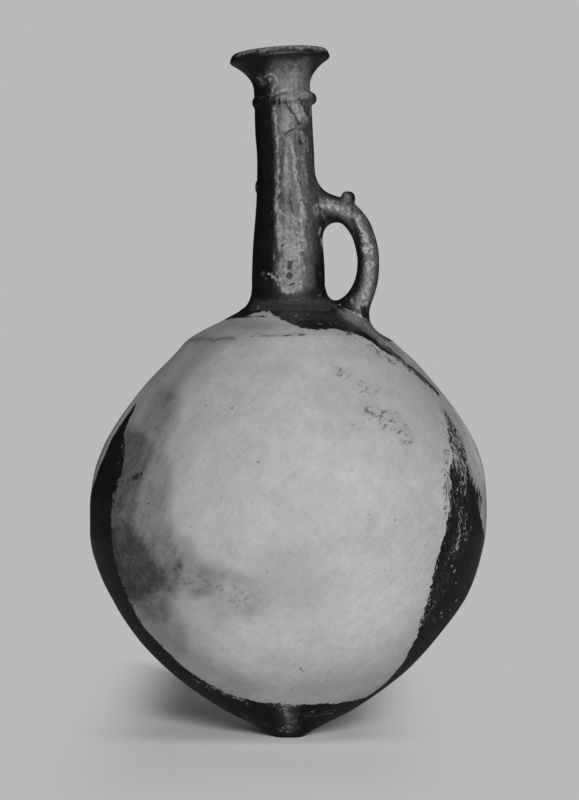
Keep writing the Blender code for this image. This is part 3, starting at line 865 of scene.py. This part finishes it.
# Light crust on the neck, with painted highlight: the bright strips and rounded foot of its lit band
NECK_CRUST_AND_HIGHLIGHT_STROKES = (
    (
        2.2, 0.85, 274.2, 108, 275, 118, 276, 126, 276.6, 147, 277.4, 160, 278, 172, 278.3, 184, 277.6,
        198, 277.5, 215, 278, 240,
    ),
    (
        2.2, 1.05, 288.5, 137, 291, 147, 293.3, 155, 295, 163, 295, 170, 296, 179, 298.6, 187, 300, 198,
    ),
    (2.2, 1.4, 294.8, 162.7), (1, 1.2, 298.6, 158.2, 296, 161),
    (3.2, 1.15, 300, 198, 302.5, 206, 303, 215, 301.5, 222), (4.5, 0.45, 286, 150, 287, 190),
    (5, 0.38, 303, 160, 306, 190), (3, 0.55, 310, 100, 312, 116), (5, 0.4, 301, 132, 309, 152),
    (0.9, 0.45, 255.4, 98.1, 263.4, 96.5, 272, 93.3),
    (2.4, 0.95, 272, 93.6, 280.5, 91.4, 289, 90.6, 299.7, 91.4, 310.3, 93),
    (0.8, 0.9, 277.4, 97, 277.8, 101, 277, 105), (0.9, 1.4, 280.5, 99.7), (0.9, 1.4, 281, 103.4),
    (1.6, 0.55, 259, 76.5, 262, 79, 261.5, 83),
    (1.1, 1, 266, 75, 271, 73.8, 275, 75.8, 277.4, 79.6, 276.6, 84.8, 273.4, 91.5),
    (2.2, 0.8, 270.5, 81), (0.7, 0.9, 293.3, 63, 293.8, 63.5), (0.6, 1, 279.2, 66.1),
    (1.6, 0.45, 238, 54.8, 250, 50.4, 267, 47.8, 290, 46.4, 312, 46.6, 322, 49.2),
    (0.9, 1.1, 271.4, 212.6), (1.2, 0.25, 271, 214, 270.6, 225, 272, 245),
    (0.9, 1.1, 273.2, 256, 273.6, 261), (0.9, 1.3, 308.9, 200.7), (1.6, 0.85, 320.5, 228, 319.5, 233),
    (1.2, 0.9, 321.5, 238, 322.5, 246), (0.7, 1.1, 320.7, 274.6),
    (0.9, 1.2, 317, 296, 319.2, 295.2, 321, 294.6),
    (1.1, 0.55, 261, 274.5, 263.4, 271.6, 265, 276, 266.2, 280.5),
    (1.4, 1.15, 268.5, 274.8, 272, 276, 275, 279, 277.5, 284, 281, 287), (1.8, 1.4, 278.7, 278.4),
    (2.2, 1.2, 281.7, 285.3, 284.8, 290.6, 290, 291.5), (1.6, 1.1, 290, 282.3, 296, 286, 301, 285),
    (4, 0.4, 314, 205, 316, 215), (1.3, 0.8, 258, 310, 259.5, 309),
    (1, 0.8, 281, 316, 290, 316.6, 298, 315),
)
# Light crust and painted highlight on the neck, as patches
NECK_CRUST_AND_HIGHLIGHT_PATCHES = (
    (
        1.6, 0.85, 282.6, 98.1, 297.5, 98.1, 303.9, 108.3, 309.3, 118.9, 307.1, 124.3, 299.7, 123.2,
        297.5, 118.9, 291.1, 109.3, 284.7, 100.8,
    ),
    (
        2, 0.62, 284.7, 108.3, 289, 110.4, 294.3, 116.8, 296.5, 123.2, 293.3, 127.5, 284.7, 132.8,
        280.5, 129.6, 279.4, 121, 281.5, 112.5,
    ),
    (
        2.6, 0.72, 275.2, 205, 275, 229, 274.8, 241, 276.8, 248.6, 280.2, 255.4, 278.7, 264, 275.5,
        271.5, 277, 281, 281, 288, 286, 293, 293, 294.5, 300, 291.5, 305, 284, 306.5, 267, 303.5, 258,
        305.8, 248, 305.8, 238, 304.2, 220, 300, 214, 293, 215, 285, 212, 279, 205,
    ),
)
# Rubbed slip and painted sheen on the neck: the grey on the flare and down the lit middle and right
NECK_RUBBED_AND_SHEEN = (
    (12, 0.92, 292, 76, 292, 92), (3, 0.7, 280, 97, 308, 97), (3, 0.25, 262, 76, 263, 82),
    (2, 0.8, 237, 54.8, 250, 50.6, 267, 48, 290, 46.2, 312, 46.2, 325, 48.8),
    (7, 0.42, 276, 66, 305, 64),
)
# Rubbed slip and painted sheen on the neck, as patches
NECK_RUBBED_AND_SHEEN_PATCHES = (
    (
        6, 0.55, 268, 72, 279, 64, 290, 62, 303, 62, 309, 70, 312, 80, 312, 92, 314, 98, 278, 98, 275,
        90, 272, 80,
    ),
    (4, 0.36, 274, 98, 308, 98, 307, 150, 309, 190, 306, 202, 296, 208, 284, 200, 276, 150),
    (4, 0.2, 300, 105, 316, 100, 314, 150, 322, 195, 304, 200, 303, 150),
    (5, 0.35, 276, 200, 304, 205, 312, 225, 312, 285, 300, 294, 280, 284),
    (5, 0.18, 305, 200, 316, 198, 320, 225, 318, 262, 311, 262, 305, 240),
    (3, 0.16, 254, 300, 330, 298, 348, 313, 248, 313),
)
NECK_DARK_STROKES = (
    (0.6, 0.45, 277, 88.6, 290, 87.6, 304, 89.2),
    (1, 1.2, 284.7, 134.4, 287.9, 131.7, 290, 130.7, 293.3, 128), (1.1, 1, 297, 124.5, 300, 124.8),
    (2.2, 0.6, 301, 129, 305, 131), (1.6, 0.7, 299.7, 139, 300, 145),
    (0.7, 0.9, 298.6, 98.2, 304.2, 107, 309.3, 118),
    (0.7, 0.9, 285, 102, 291, 110.5, 295.5, 118.5, 298, 123),
    (0.9, 1.3, 278.9, 98, 279.2, 102, 278.8, 106), (2.7, 1.2, 273, 97.8, 272.6, 103.5),
    (1.3, 0.55, 281.6, 139, 282, 170), (3, 0.45, 290, 190, 290.5, 212),
    (0.8, 0.6, 281, 245, 281.6, 256), (2.8, 0.62, 290.1, 261.5, 290.1, 268), (3.9, 0.85, 289.4, 275.3),
    (0.9, 1.3, 289, 284.8, 293, 284.2), (1, 1.4, 301.2, 200.3), (1, 1, 280, 68), (0.8, 0.8, 297, 100.2),
)
HANDLE_LIGHT_STROKES = (
    (4.5, 0.65, 322, 206, 331, 205.5, 338, 207), (3, 0.3, 344, 203, 346, 208, 351, 213),
    (2.8, 0.85, 355, 217, 358, 224, 363, 232), (1.8, 1.1, 357, 222, 359, 228),
    (3.4, 0.66, 364, 234, 368, 246, 371, 258), (3, 0.66, 371, 258, 371, 270, 369, 280),
    (3.2, 0.7, 368, 282, 366, 292, 364, 300, 360, 308), (2.8, 1.4, 365.2, 250.4),
    (0.9, 1.3, 361, 260, 362.4, 262.3), (1.6, 0.8, 366, 264, 369, 266), (2, 0.5, 320, 213, 324, 215),
    (3, 0.5, 347, 297, 357, 303), (2.5, 0.35, 330, 306, 340, 306.5),
    (2.4, 1.15, 340, 311.5, 352, 315.5, 364, 321, 376, 331), (1.4, 0.9, 344, 317, 357, 324, 367, 331),
    (1.2, 1.2, 352, 312, 360, 315),
)
HANDLE_RUBBED = (
    (6.5, 0.62, 312, 198, 322, 203, 335, 206.5, 345, 209.5),
    (6, 0.78, 345, 209.5, 355, 220, 362, 234, 368, 250, 370.5, 263),
    (6, 0.74, 370.5, 263, 369.5, 278, 366, 292, 360, 306),
    (3.6, 0.4, 354, 207, 363, 219, 371, 237, 376, 253, 377.5, 268, 375, 284, 370, 299),
    (3.5, 0.55, 344, 194, 345, 203), (4, 0.35, 318, 214, 322, 224),
)
# Dark marks on the handle, with painted shade on the inner side of the loop and its outer right edge
HANDLE_DARK_MARKS_AND_SHADE = (
    (3.6, 0.8, 353, 221, 357, 235, 359, 250, 360.5, 263, 360, 272, 356, 286, 349, 298),
    (2.4, 0.5, 379, 262, 378, 278, 374, 292, 370, 304), (0.9, 1.2, 357, 228, 359.5, 233, 363.5, 234),
    (1.5, 0.6, 352, 205, 352.5, 214), (3.2, 1.1, 364, 309, 366.5, 315), (1.2, 0.8, 350, 311, 356, 314),
    (1, 0.8, 352, 320, 360, 325, 366, 327),
)


UNSEEN_SHARE = 0.35
UNSEEN_SWING = 1.1


def unseen(places, shown, size, amount, seed):
    """Broad uneven wear on the sides that the photograph doesn't show, its size in millimetres."""
    wear = UNSEEN_SHARE + UNSEEN_SWING * roughly(places, size * MM, seed)
    return (1 - shown) * np.clip(wear, 0, 1) * amount


# For smoke and painted shade on the body, or light crust elsewhere with painted highlight on the
# neck, then for rubbed places with painted sheen: strokes, patches, and the size, amount and seed of
# unseen ones
BODY_WEAR = ((SMOKE, SMOKE_AND_SHADE_PATCHES, 45, 0.30, 64), (RUBBED_AND_RIM_REFLECTION, STREAK, 45, 0.35, 64))
NECK_WEAR = (
    (NECK_CRUST_AND_HIGHLIGHT_STROKES, NECK_CRUST_AND_HIGHLIGHT_PATCHES, 24, 0.45, 51),
    (NECK_RUBBED_AND_SHEEN, NECK_RUBBED_AND_SHEEN_PATCHES, 30, 0.42, 54),
)
HANDLE_WEAR = (
    (HANDLE_LIGHT_STROKES, (), 16, 0.50, 57),
    (HANDLE_RUBBED, STREAK, 20, 0.50, 61),
)


def mark_body(body, outer_tree, outer_count):
    own = places_of(body)
    places = moved_about(own, PLACE_WARPS)
    fields = [
        field_distance(places, outer_tree, field) for field in (FRONT_FIELD, LEFT_FIELD, RIGHT_FIELD)
    ]
    store(body, "field", np.max(fields, axis=0))
    for name, lines in (("painted_light_and_shade", PAINTED_LIGHT_AND_SHADE), ("flecks", FLECK_ZONES), ("flaky", FLAKY_ZONES)):
        store(body, name, marked(places, outer_tree, lines))
    shown = facing(body, outer_count)
    pixels = moved_about(pixels_of(own), PIXEL_WARPS, own)
    for name, (lines, patches, *elsewhere) in zip(("smoke_and_shade", "rubbed_and_sheen"), BODY_WEAR):
        strokes = marked(places, outer_tree, lines)
        broad = painted(pixels, (), patches) * shown + unseen(places, shown, *elsewhere)
        store(body, name, strokes + broad * (1 - strokes))
    fine = moved_about(own, PLACE_WARPS[-1:])
    for name, lines in (("marks", SEAM_MARKS), ("smear", SMEARS)):
        store(body, name, marked(fine, outer_tree, lines))


def mark_worn(piece, wear, dark_marks_and_shade_strokes, outer_count=None):
    places = places_of(piece)
    pixels = moved_about(pixels_of(places), PIXEL_WARPS, places)
    shown = facing(piece, outer_count)
    # on the neck the light amounts hold painted highlight and the rubbed ones painted sheen
    for name, (strokes, patches, *elsewhere) in zip(("light", "rubbed_and_sheen"), wear):
        amounts = painted(pixels, strokes, patches) * shown
        store(piece, name, amounts + unseen(places, shown, *elsewhere))
    store(piece, "dark_marks_and_shade", painted(pixels, dark_marks_and_shade_strokes) * shown)


# Materials

NOISE_RANGE = (0.26, 0.74)  # of a noise node's values, which are stretched to fill 0 to 1
FAR_OFF = 10.0  # radii away from a spot
SPOT_EDGE = (1.15, 0.75)  # radii between which a spot fades in


class Nodes:
    """A material's or world's nodes, added one call at a time from numbers or other sockets."""

    def __init__(self, owner):
        self.owner = owner
        owner.use_nodes = True
        self.tree = owner.node_tree

    def put(self, socket, value):
        if isinstance(value, bpy.types.NodeSocket):
            self.tree.links.new(value, socket)
        else:
            socket.default_value = value

    def node(self, kind, inputs, output=0, **settings):
        """An output of a new node that has these settings, and these inputs by name or number."""
        node = self.tree.nodes.new(f"ShaderNode{kind}")
        for name, setting in settings.items():
            setattr(node, name, setting)
        for name, value in inputs.items():
            self.put(node.inputs[name], value)
        return node.outputs[output]

    def ray(self, kind):
        return self.node("LightPath", {}, f"Is {kind} Ray")

    def either(self, share, first, second):
        """Blend of two shaders."""
        return self.node("MixShader", {0: share, 1: first, 2: second})


class Shader(Nodes):
    """A material, whose patterns lie still on the piece."""

    def __init__(self, name):
        super().__init__(bpy.data.materials.new(name))
        self.surface = self.tree.nodes["Principled BSDF"]
        self.place = self.node("TexCoord", {}, "Object")

    def math(self, operation, first, second=0.0):
        return self.node("Math", {0: first, 1: second}, operation=operation)

    def add(self, *values):
        return reduce(lambda total, value: self.math("ADD", total, value), values)

    def times(self, *values):
        return reduce(lambda total, value: self.math("MULTIPLY", total, value), values)

    def mix(self, share, first, second):
        return self.node("Mix", {"Factor": share, "A": first, "B": second}, "Result")

    def between(self, value, *ends, style="SMOOTHSTEP"):
        """The value led from its low and high end to 0 and 1, or to two more ends."""
        inputs = dict(enumerate((value, *ends)))
        return self.node("MapRange", inputs, "Result", interpolation_type=style)

    def noise(self, size, detail=3.0, rough=0.5, stretch=(1, 1, 1), turn=0.0, seed=0.0):
        """Noise from 0 to 1, stretched along its axes, which are turned about Y."""
        place = {"Vector": self.place, "Scale": stretch, "Rotation": (0, turn, 0)}
        inputs = {
            "Vector": self.node("Mapping", place, vector_type="TEXTURE"), "W": seed,
            "Scale": 1 / size, "Detail": detail, "Roughness": rough,
        }
        raw = self.node("TexNoise", inputs, "Fac", noise_dimensions="4D")
        return self.between(raw, *NOISE_RANGE, style="LINEAR")

    def cells(self, size):
        return self.node("TexVoronoi", {"Vector": self.place, "Scale": 1 / size}, "Distance")

    def spots(self, spots, tree, fade):
        """One on spots of a skin, each a pixel of the photograph and a radius in millimetres."""
        nearest = FAR_OFF
        for x, y, radius in spots:
            middle = tree.ray_cast(*ray_of((x, y)))[0]
            away = self.node("VectorMath", {0: self.place, 1: middle}, "Value", operation="DISTANCE")
            nearest = self.math("MINIMUM", nearest, self.times(away, 1 / (radius * MM)))
        return self.between(self.add(nearest, fade), *SPOT_EDGE)

    def stored(self, name):
        return self.node("Attribute", {}, "Fac", attribute_name=name)

    def swing(self, value, amount):
        """A value near one that follows a 0 to 1 noise up and down by the amount."""
        return self.add(self.times(value, 2 * amount), 1 - amount)

    def varied(self, value, *swings):
        return self.times(value, *(self.swing(*pair) for pair in swings))

    def layers(self, unit, *layers):
        """Sum of patterns, each with its height in the unit."""
        return self.add(*(self.times(pattern, height * unit) for pattern, height in layers))

    def about(self, value, amount):
        """A 0 to 1 noise moved to lie about zero, times the amount."""
        return self.times(self.add(value, -0.5), amount)

    def finish(self, lightness, roughness, height):
        self.put(self.surface.inputs["Base Color"], lightness)
        self.put(self.surface.inputs["Roughness"], roughness)
        bump = self.node("Bump", {"Height": height, "Distance": 1.0})
        self.put(self.surface.inputs["Normal"], bump)
        return self.owner


CLAY = 0.40
# of smoked clay, and of the painted shade on the body's left side
SMOKED_AND_SHADED_CLAY = 0.055
SLIP = 0.007
DARK_SLIP = 0.005
# of rubbed slip, and of the painted sheen and rim reflection on the dark slip
DUST_AND_SHEEN = 0.19
WORN_SLIP = 0.10
FLAKE = 0.30


def body_material(skin_tree):
    """Pale clay fields and dark slip, with ragged edges between them."""
    s = Shader("body_clay_and_slip")
    cloud = s.noise(55 * MM, 3, seed=1)
    patch = s.noise(16 * MM, 4, 0.6, seed=2)
    mottle = s.noise(4 * MM, 5, 0.65, seed=13)
    grain = s.noise(1.3 * MM, 3, 0.6, seed=3)
    fine = s.noise(0.5 * MM, 2, seed=4)
    brushed = s.noise(4 * MM, 4, 0.6, stretch=(4, 1.5, 0.8), turn=-0.85, seed=5)
    scraped = s.noise(3 * MM, 4, 0.6, stretch=(0.8, 1.5, 4), turn=-0.75, seed=6)

    # painted light and shade: the clay made lighter or darker by the stored amounts
    clay = s.varied(
        s.times(CLAY, s.add(1.0, s.stored("painted_light_and_shade"))), (cloud, 0.08), (patch, 0.11), (mottle, 0.07),
        (grain, 0.06), (brushed, 0.05), (scraped, 0.04),
    )
    # smoke, with painted shade on the left side, darkens the clay towards the smoked tone
    smoke_and_shade = s.stored("smoke_and_shade")
    blotch = s.noise(8 * MM, 5, 0.62, stretch=(1.8, 1.2, 0.8), turn=-0.9, seed=17)
    uneven = s.layers(1, (patch, 0.24), (blotch, 0.30), (mottle, 0.32), (grain, 0.24))
    uneven = s.times(s.add(uneven, -0.55), s.math("SUBTRACT", 1.35, smoke_and_shade), 2.2)
    smoke_and_shade = s.add(smoke_and_shade, s.times(uneven, smoke_and_shade))
    clay = s.mix(smoke_and_shade, clay, SMOKED_AND_SHADED_CLAY)
    rare = s.between(s.noise(20 * MM, 2, seed=7), 0.62, 0.74)
    speck = s.times(s.between(s.cells(7 * MM), 0.10, 0.05), rare)
    clay = s.mix(s.times(speck, 0.55), clay, SMOKED_AND_SHADED_CLAY)
    flecks = s.between(s.noise(3 * MM, 4, 0.65, stretch=(1.8, 1.2, 0.8), turn=-0.5, seed=8), 0.48, 0.64)
    flecks = s.times(flecks, s.between(s.stored("flecks"), 0.1, 0.8), s.between(mottle, 0.3, 0.6))
    clay = s.mix(s.times(flecks, 0.75), clay, SMOKED_AND_SHADED_CLAY)

    flaky = s.stored("flaky")
    slip = s.varied(SLIP, (patch, 0.35), (scraped, 0.4), (grain, 0.3))
    worn = s.between(s.noise(2.6 * MM, 5, 0.7, stretch=(0.7, 0.7, 2.2), turn=-0.2, seed=9), 0.35, 1.0)
    slip = s.mix(s.times(worn, s.add(flaky, 0.16), 0.65), slip, WORN_SLIP)
    # rubbed slip, with painted reflection along the dark slip's outer rims, turns dusty grey
    slip = s.mix(s.varied(s.stored("rubbed_and_sheen"), (mottle, 0.5), (grain, 0.4)), slip, DUST_AND_SHEEN)
    ragged = s.noise(2.6 * MM, 4, 0.65, stretch=(1, 1, 2.4), seed=16)
    edge = s.add(
        s.stored("field"), s.about(s.noise(6 * MM, 4, 0.6, seed=10), 1.4 * MM),
        s.about(s.noise(1.6 * MM, 3, 0.6, seed=11), 1.2 * MM),
        s.about(ragged, s.add(1.0 * MM, s.times(flaky, 13 * MM))),
    )
    bits = s.noise(1.7 * MM, 4, 0.62, stretch=(0.8, 0.8, 1.8), turn=-0.15, seed=12)
    clumps = s.noise(5.5 * MM, 3, 0.55, stretch=(0.8, 0.8, 1.8), seed=15)
    near_edge = s.between(edge, -5 * MM, 0, 0, 0.14)
    bits = s.layers(1, (bits, 0.62), (clumps, 0.38))
    chips = s.between(s.add(bits, near_edge, s.times(flaky, 0.28)), 0.76, 0.86)
    slip = s.mix(chips, slip, s.varied(FLAKE, (grain, 0.3)))
    smear = s.add(s.stored("smear"), s.about(mottle, 0.8), s.about(grain, 0.5))
    smear = s.between(smear, 0.30, 0.85)
    smear = s.times(smear, s.between(s.stored("smear"), 0.05, 0.3))
    slip = s.mix(smear, slip, s.varied(FLAKE, (grain, 0.3), (mottle, 0.4)))

    stains = s.add(s.noise(1.6 * MM, 3, 0.6, seed=14), s.between(edge, 4 * MM, 0, 0, 0.3))
    bare = s.between(stains, 1.08, 1.16, 1.0, 0.15)
    inside_field = s.times(s.between(edge, -0.25 * MM, 0.25 * MM), bare)
    wobble = s.about(grain, 0.7)
    slip = s.mix(s.spots(LIGHT_SPOTS, skin_tree, wobble), slip, s.times(FLAKE, 1.3))
    clay = s.mix(s.times(s.spots(DARK_SPOTS, skin_tree, wobble), 0.80), clay, SLIP)
    clay = s.mix(s.times(s.spots(FAINT_SPOTS, skin_tree, wobble), 0.38), clay, SLIP)
    tone = s.mix(inside_field, slip, clay)
    marks = s.between(s.add(s.stored("marks"), s.about(grain, 0.6)), 0.35, 0.95)
    tone = s.mix(marks, tone, SLIP)
    rough = s.mix(inside_field, s.add(0.30, s.times(patch, 0.16)), s.add(0.52, s.times(grain, 0.14)))
    height = s.layers(
        MM, (grain, 0.07), (fine, 0.03), (brushed, 0.16), (scraped, 0.08), (mottle, 0.10),
        (inside_field, -0.10), (chips, -0.06), (speck, -0.12), (marks, -0.4),
    )
    return s.finish(tone, rough, height)


def worn_material(name, streak, speckle, crust_and_highlight_tone, pitted):
    """Burnished dark slip, with streaks and specks of worn and encrusted places.

    On the neck the crust and dust also hold painted highlight and sheen.
    """
    s = Shader(name)
    patch = s.noise(14 * MM, 4, 0.6, seed=21)
    mottle = s.noise(2.6 * MM, 5, 0.68, seed=24)
    streaks = s.noise(2.4 * MM, 4, 0.62, stretch=(1, 1, streak), seed=22)
    grain = s.noise(0.8 * MM, 3, 0.6, seed=23)
    fine = s.noise(0.35 * MM, 2, seed=25)
    # crust, and on the neck painted highlight, lightens the slip
    light = s.stored("light")
    ragged = s.add(s.about(streaks, 0.9), s.about(mottle, speckle), s.about(grain, 0.5))
    worn = s.add(light, s.times(ragged, s.between(light, 0.02, 0.35, 0.35, 1.0)))
    worn = s.between(worn, 0.22, 1.15)
    slip = s.varied(DARK_SLIP, (patch, 0.4), (streaks, 0.4))
    # dust, and on the neck painted sheen, greys the slip
    dust_and_sheen = s.varied(s.stored("rubbed_and_sheen"), (mottle, 0.65), (streaks, 0.35), (grain, 0.35))
    slip = s.mix(dust_and_sheen, slip, DUST_AND_SHEEN)
    crust_and_highlight = s.varied(crust_and_highlight_tone, (grain, 0.30), (mottle, 0.40), (patch, 0.2))
    tone = s.mix(worn, slip, crust_and_highlight)
    flake = s.between(s.add(grain, s.about(mottle, 0.8)), 1.02, 1.12)
    tone = s.mix(s.times(flake, 0.35), tone, crust_and_highlight_tone)
    pits = s.between(s.noise(1.5 * MM, 4, 0.65, seed=26), 0.64, 0.80)
    tone = s.mix(s.times(pits, pitted), tone, DARK_SLIP)
    # dark marks, and on the handle painted shade, darken the slip
    dark_marks_and_shade = s.between(s.add(s.stored("dark_marks_and_shade"), s.about(grain, 0.6)), 0.3, 0.75)
    tone = s.mix(dark_marks_and_shade, tone, DARK_SLIP)
    glossy = s.add(0.33, s.times(patch, 0.14), s.times(grain, 0.06))
    rough = s.mix(s.math("MAXIMUM", worn, dust_and_sheen), glossy, s.add(0.55, s.times(grain, 0.25)))
    height = s.layers(
        MM, (streaks, 0.14), (grain, 0.06), (mottle, 0.22), (fine, 0.02), (worn, -0.10), (dark_marks_and_shade, -0.35),
    )
    return s.finish(tone, rough, height)


def dress(piece, material, slot, *nodes):
    piece.data.materials.clear()
    piece.data.materials.append(material)
    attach(piece, "root")
    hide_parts(*nodes)


# Stage

BACKGROUND = 0.49
AMBIENT = 0.02
GLEAM = 0.015  # of the room in reflections
FLOOR_TONE = 0.65
FLOOR_TURN = math.radians(40)  # towards the light, of the floor as the camera sees it
FLOOR_GLEAM = 0.15  # of the floor in reflections
FLOOR_RADIUS = 4.0
SHADOW_MIDDLE = -20 * MM  # of the strip of floor that the camera sees with its shadow
SIDE_FADE = (55 * MM, 190 * MM)  # from its middle, where the background comes in
BACK_FADE = (500 * MM, 900 * MM)


def grey(tone):
    return tone, tone, tone, 1


def pale_floor():
    """Floor that keeps the jug's shadow and passes into the background's tone further out."""
    shape = bmesh.new()
    bmesh.ops.create_circle(shape, cap_ends=True, segments=96, radius=FLOOR_RADIUS)
    floor = linked("floor", mesh_from(shape, "floor"))
    s = Shader("floor_paper")
    camera_ray = s.ray("Camera")
    across = s.node("SeparateXYZ", {0: s.place}, "X")
    depth = s.node("SeparateXYZ", {0: s.place}, "Y")
    kept = s.between(s.math("ABSOLUTE", s.add(across, -SHADOW_MIDDLE)), *SIDE_FADE, 1.0, 0.0)
    beside = s.math("SUBTRACT", 1.0, s.math("POWER", kept, 3.0))
    behind = s.between(s.math("ABSOLUTE", depth), *BACK_FADE)
    far = s.times(s.math("MAXIMUM", beside, behind), camera_ray)
    seen_as = s.mix(s.ray("Glossy"), FLOOR_TONE, FLOOR_GLEAM)
    up = s.node("CombineXYZ", {
        "Y": s.times(camera_ray, -math.sin(FLOOR_TURN)),
        "Z": s.add(1.0, s.times(camera_ray, math.cos(FLOOR_TURN) - 1)),
    })
    s.put(s.surface.inputs["Normal"], up)
    s.put(s.surface.inputs["Base Color"], s.times(seen_as, s.swing(s.noise(0.8 * MM, 2), 0.015)))
    s.surface.inputs["Roughness"].default_value = 0.9
    s.surface.inputs["Specular IOR Level"].default_value = 0.0
    glow = s.node("Emission", {"Color": grey(BACKGROUND)})
    blend = s.either(far, s.surface.outputs[0], glow)
    s.put(s.tree.nodes["Material Output"].inputs["Surface"], blend)
    floor.data.materials.append(s.owner)


def room_light():
    """World that the camera sees as the plain background, and that lights the jug dimly."""
    world = bpy.data.worlds.new("room")
    bpy.context.scene.world = world
    n = Nodes(world)
    ambient = n.tree.nodes["Background"]
    ambient.inputs["Color"].default_value = grey(1)
    ambient.inputs["Strength"].default_value = AMBIENT
    light = ambient.outputs[0]
    for kind, tone in (("Glossy", GLEAM), ("Camera", BACKGROUND)):
        light = n.either(n.ray(kind), light, n.node("Background", {"Color": grey(tone)}))
    n.put(n.tree.nodes["World Output"].inputs["Surface"], light)


AIM = Vector((0, 0, 0.2))


def soft_light(name, azimuth, elevation, distance, size, watts):
    """Square light aimed at the jug. Azimuth 0 is the camera's side, 90 the handle's."""
    turn, rise = math.radians(azimuth), math.radians(elevation)
    way = Vector((math.sin(turn) * math.cos(rise), -math.cos(turn) * math.cos(rise), math.sin(rise)))
    lamp = bpy.data.lights.new(name, "AREA")
    lamp.size = size
    lamp.energy = watts
    light = linked(name, lamp)
    light.visible_camera = False
    light.location = AIM + way * distance
    light.rotation_euler = way.to_track_quat("Z", "Y").to_euler()
    return light


def camera():
    data = bpy.data.cameras.new("camera")
    data.lens = LENS
    data.sensor_width = SENSOR
    data.clip_start = 0.05
    data.clip_end = 50
    view = linked("camera", data)
    view.location = EYE
    view.rotation_euler = (TILT, 0, 0)
    bpy.context.scene.camera = view


def build():
    camera()
    body, body_outer = clay_body()
    skin = grid_skin(body_outer)
    neck, neck_outer = clay_neck(skin)
    neck_skin = grid_skin(neck_outer)
    handle = clay_handle()
    host_tree, handle_tree = tree_of(skin, neck_skin), tree_of(handle)
    melt(handle, handle_tree, host_tree)
    for piece, outer in ((neck, neck_outer), (body, body_outer)):
        melt(piece, host_tree, handle_tree, outer[..., 0].size)
    pellet = clay_pellet(tree_of(neck_skin))
    mark_body(body, tree_of(skin), body_outer[..., 0].size)
    mark_worn(neck, NECK_WEAR, NECK_DARK_STROKES, neck_outer[..., 0].size)
    mark_worn(handle, HANDLE_WEAR, HANDLE_DARK_MARKS_AND_SHADE)
    dress(body, body_material(tree_of(skin)), "pale_clay", *BODY_PIECES)
    for helper in (skin, neck_skin):
        bpy.data.objects.remove(helper)
    neck_slip = worn_material("neck_slip", 5, 0.9, 0.22, 0.35)
    handle_slip = worn_material("handle_slip", 1.5, 1.5, 0.30, 0.85)
    pellet_slip = worn_material("pellet_slip", 2, 0.7, 0.22, 0.5)
    dress(neck, neck_slip, "dark_slip", *NECK_PIECES)
    dress(handle, handle_slip, "worn_slip", "handle", "handle_knob")
    dress(pellet, pellet_slip, "dark_slip", "neck_pellet")


build()
pale_floor()
room_light()
soft_light("key", 4, 8, 4.0, 0.7, 126)
soft_light("side", 50, 10, 2.5, 1.2, 9)
soft_light("top", 18, 50, 3.0, 1.2, 9.5)
soft_light("back", 180, 15, 3.0, 1.6, 80).visible_glossy = False
bpy.context.scene.view_settings.view_transform = "Standard"
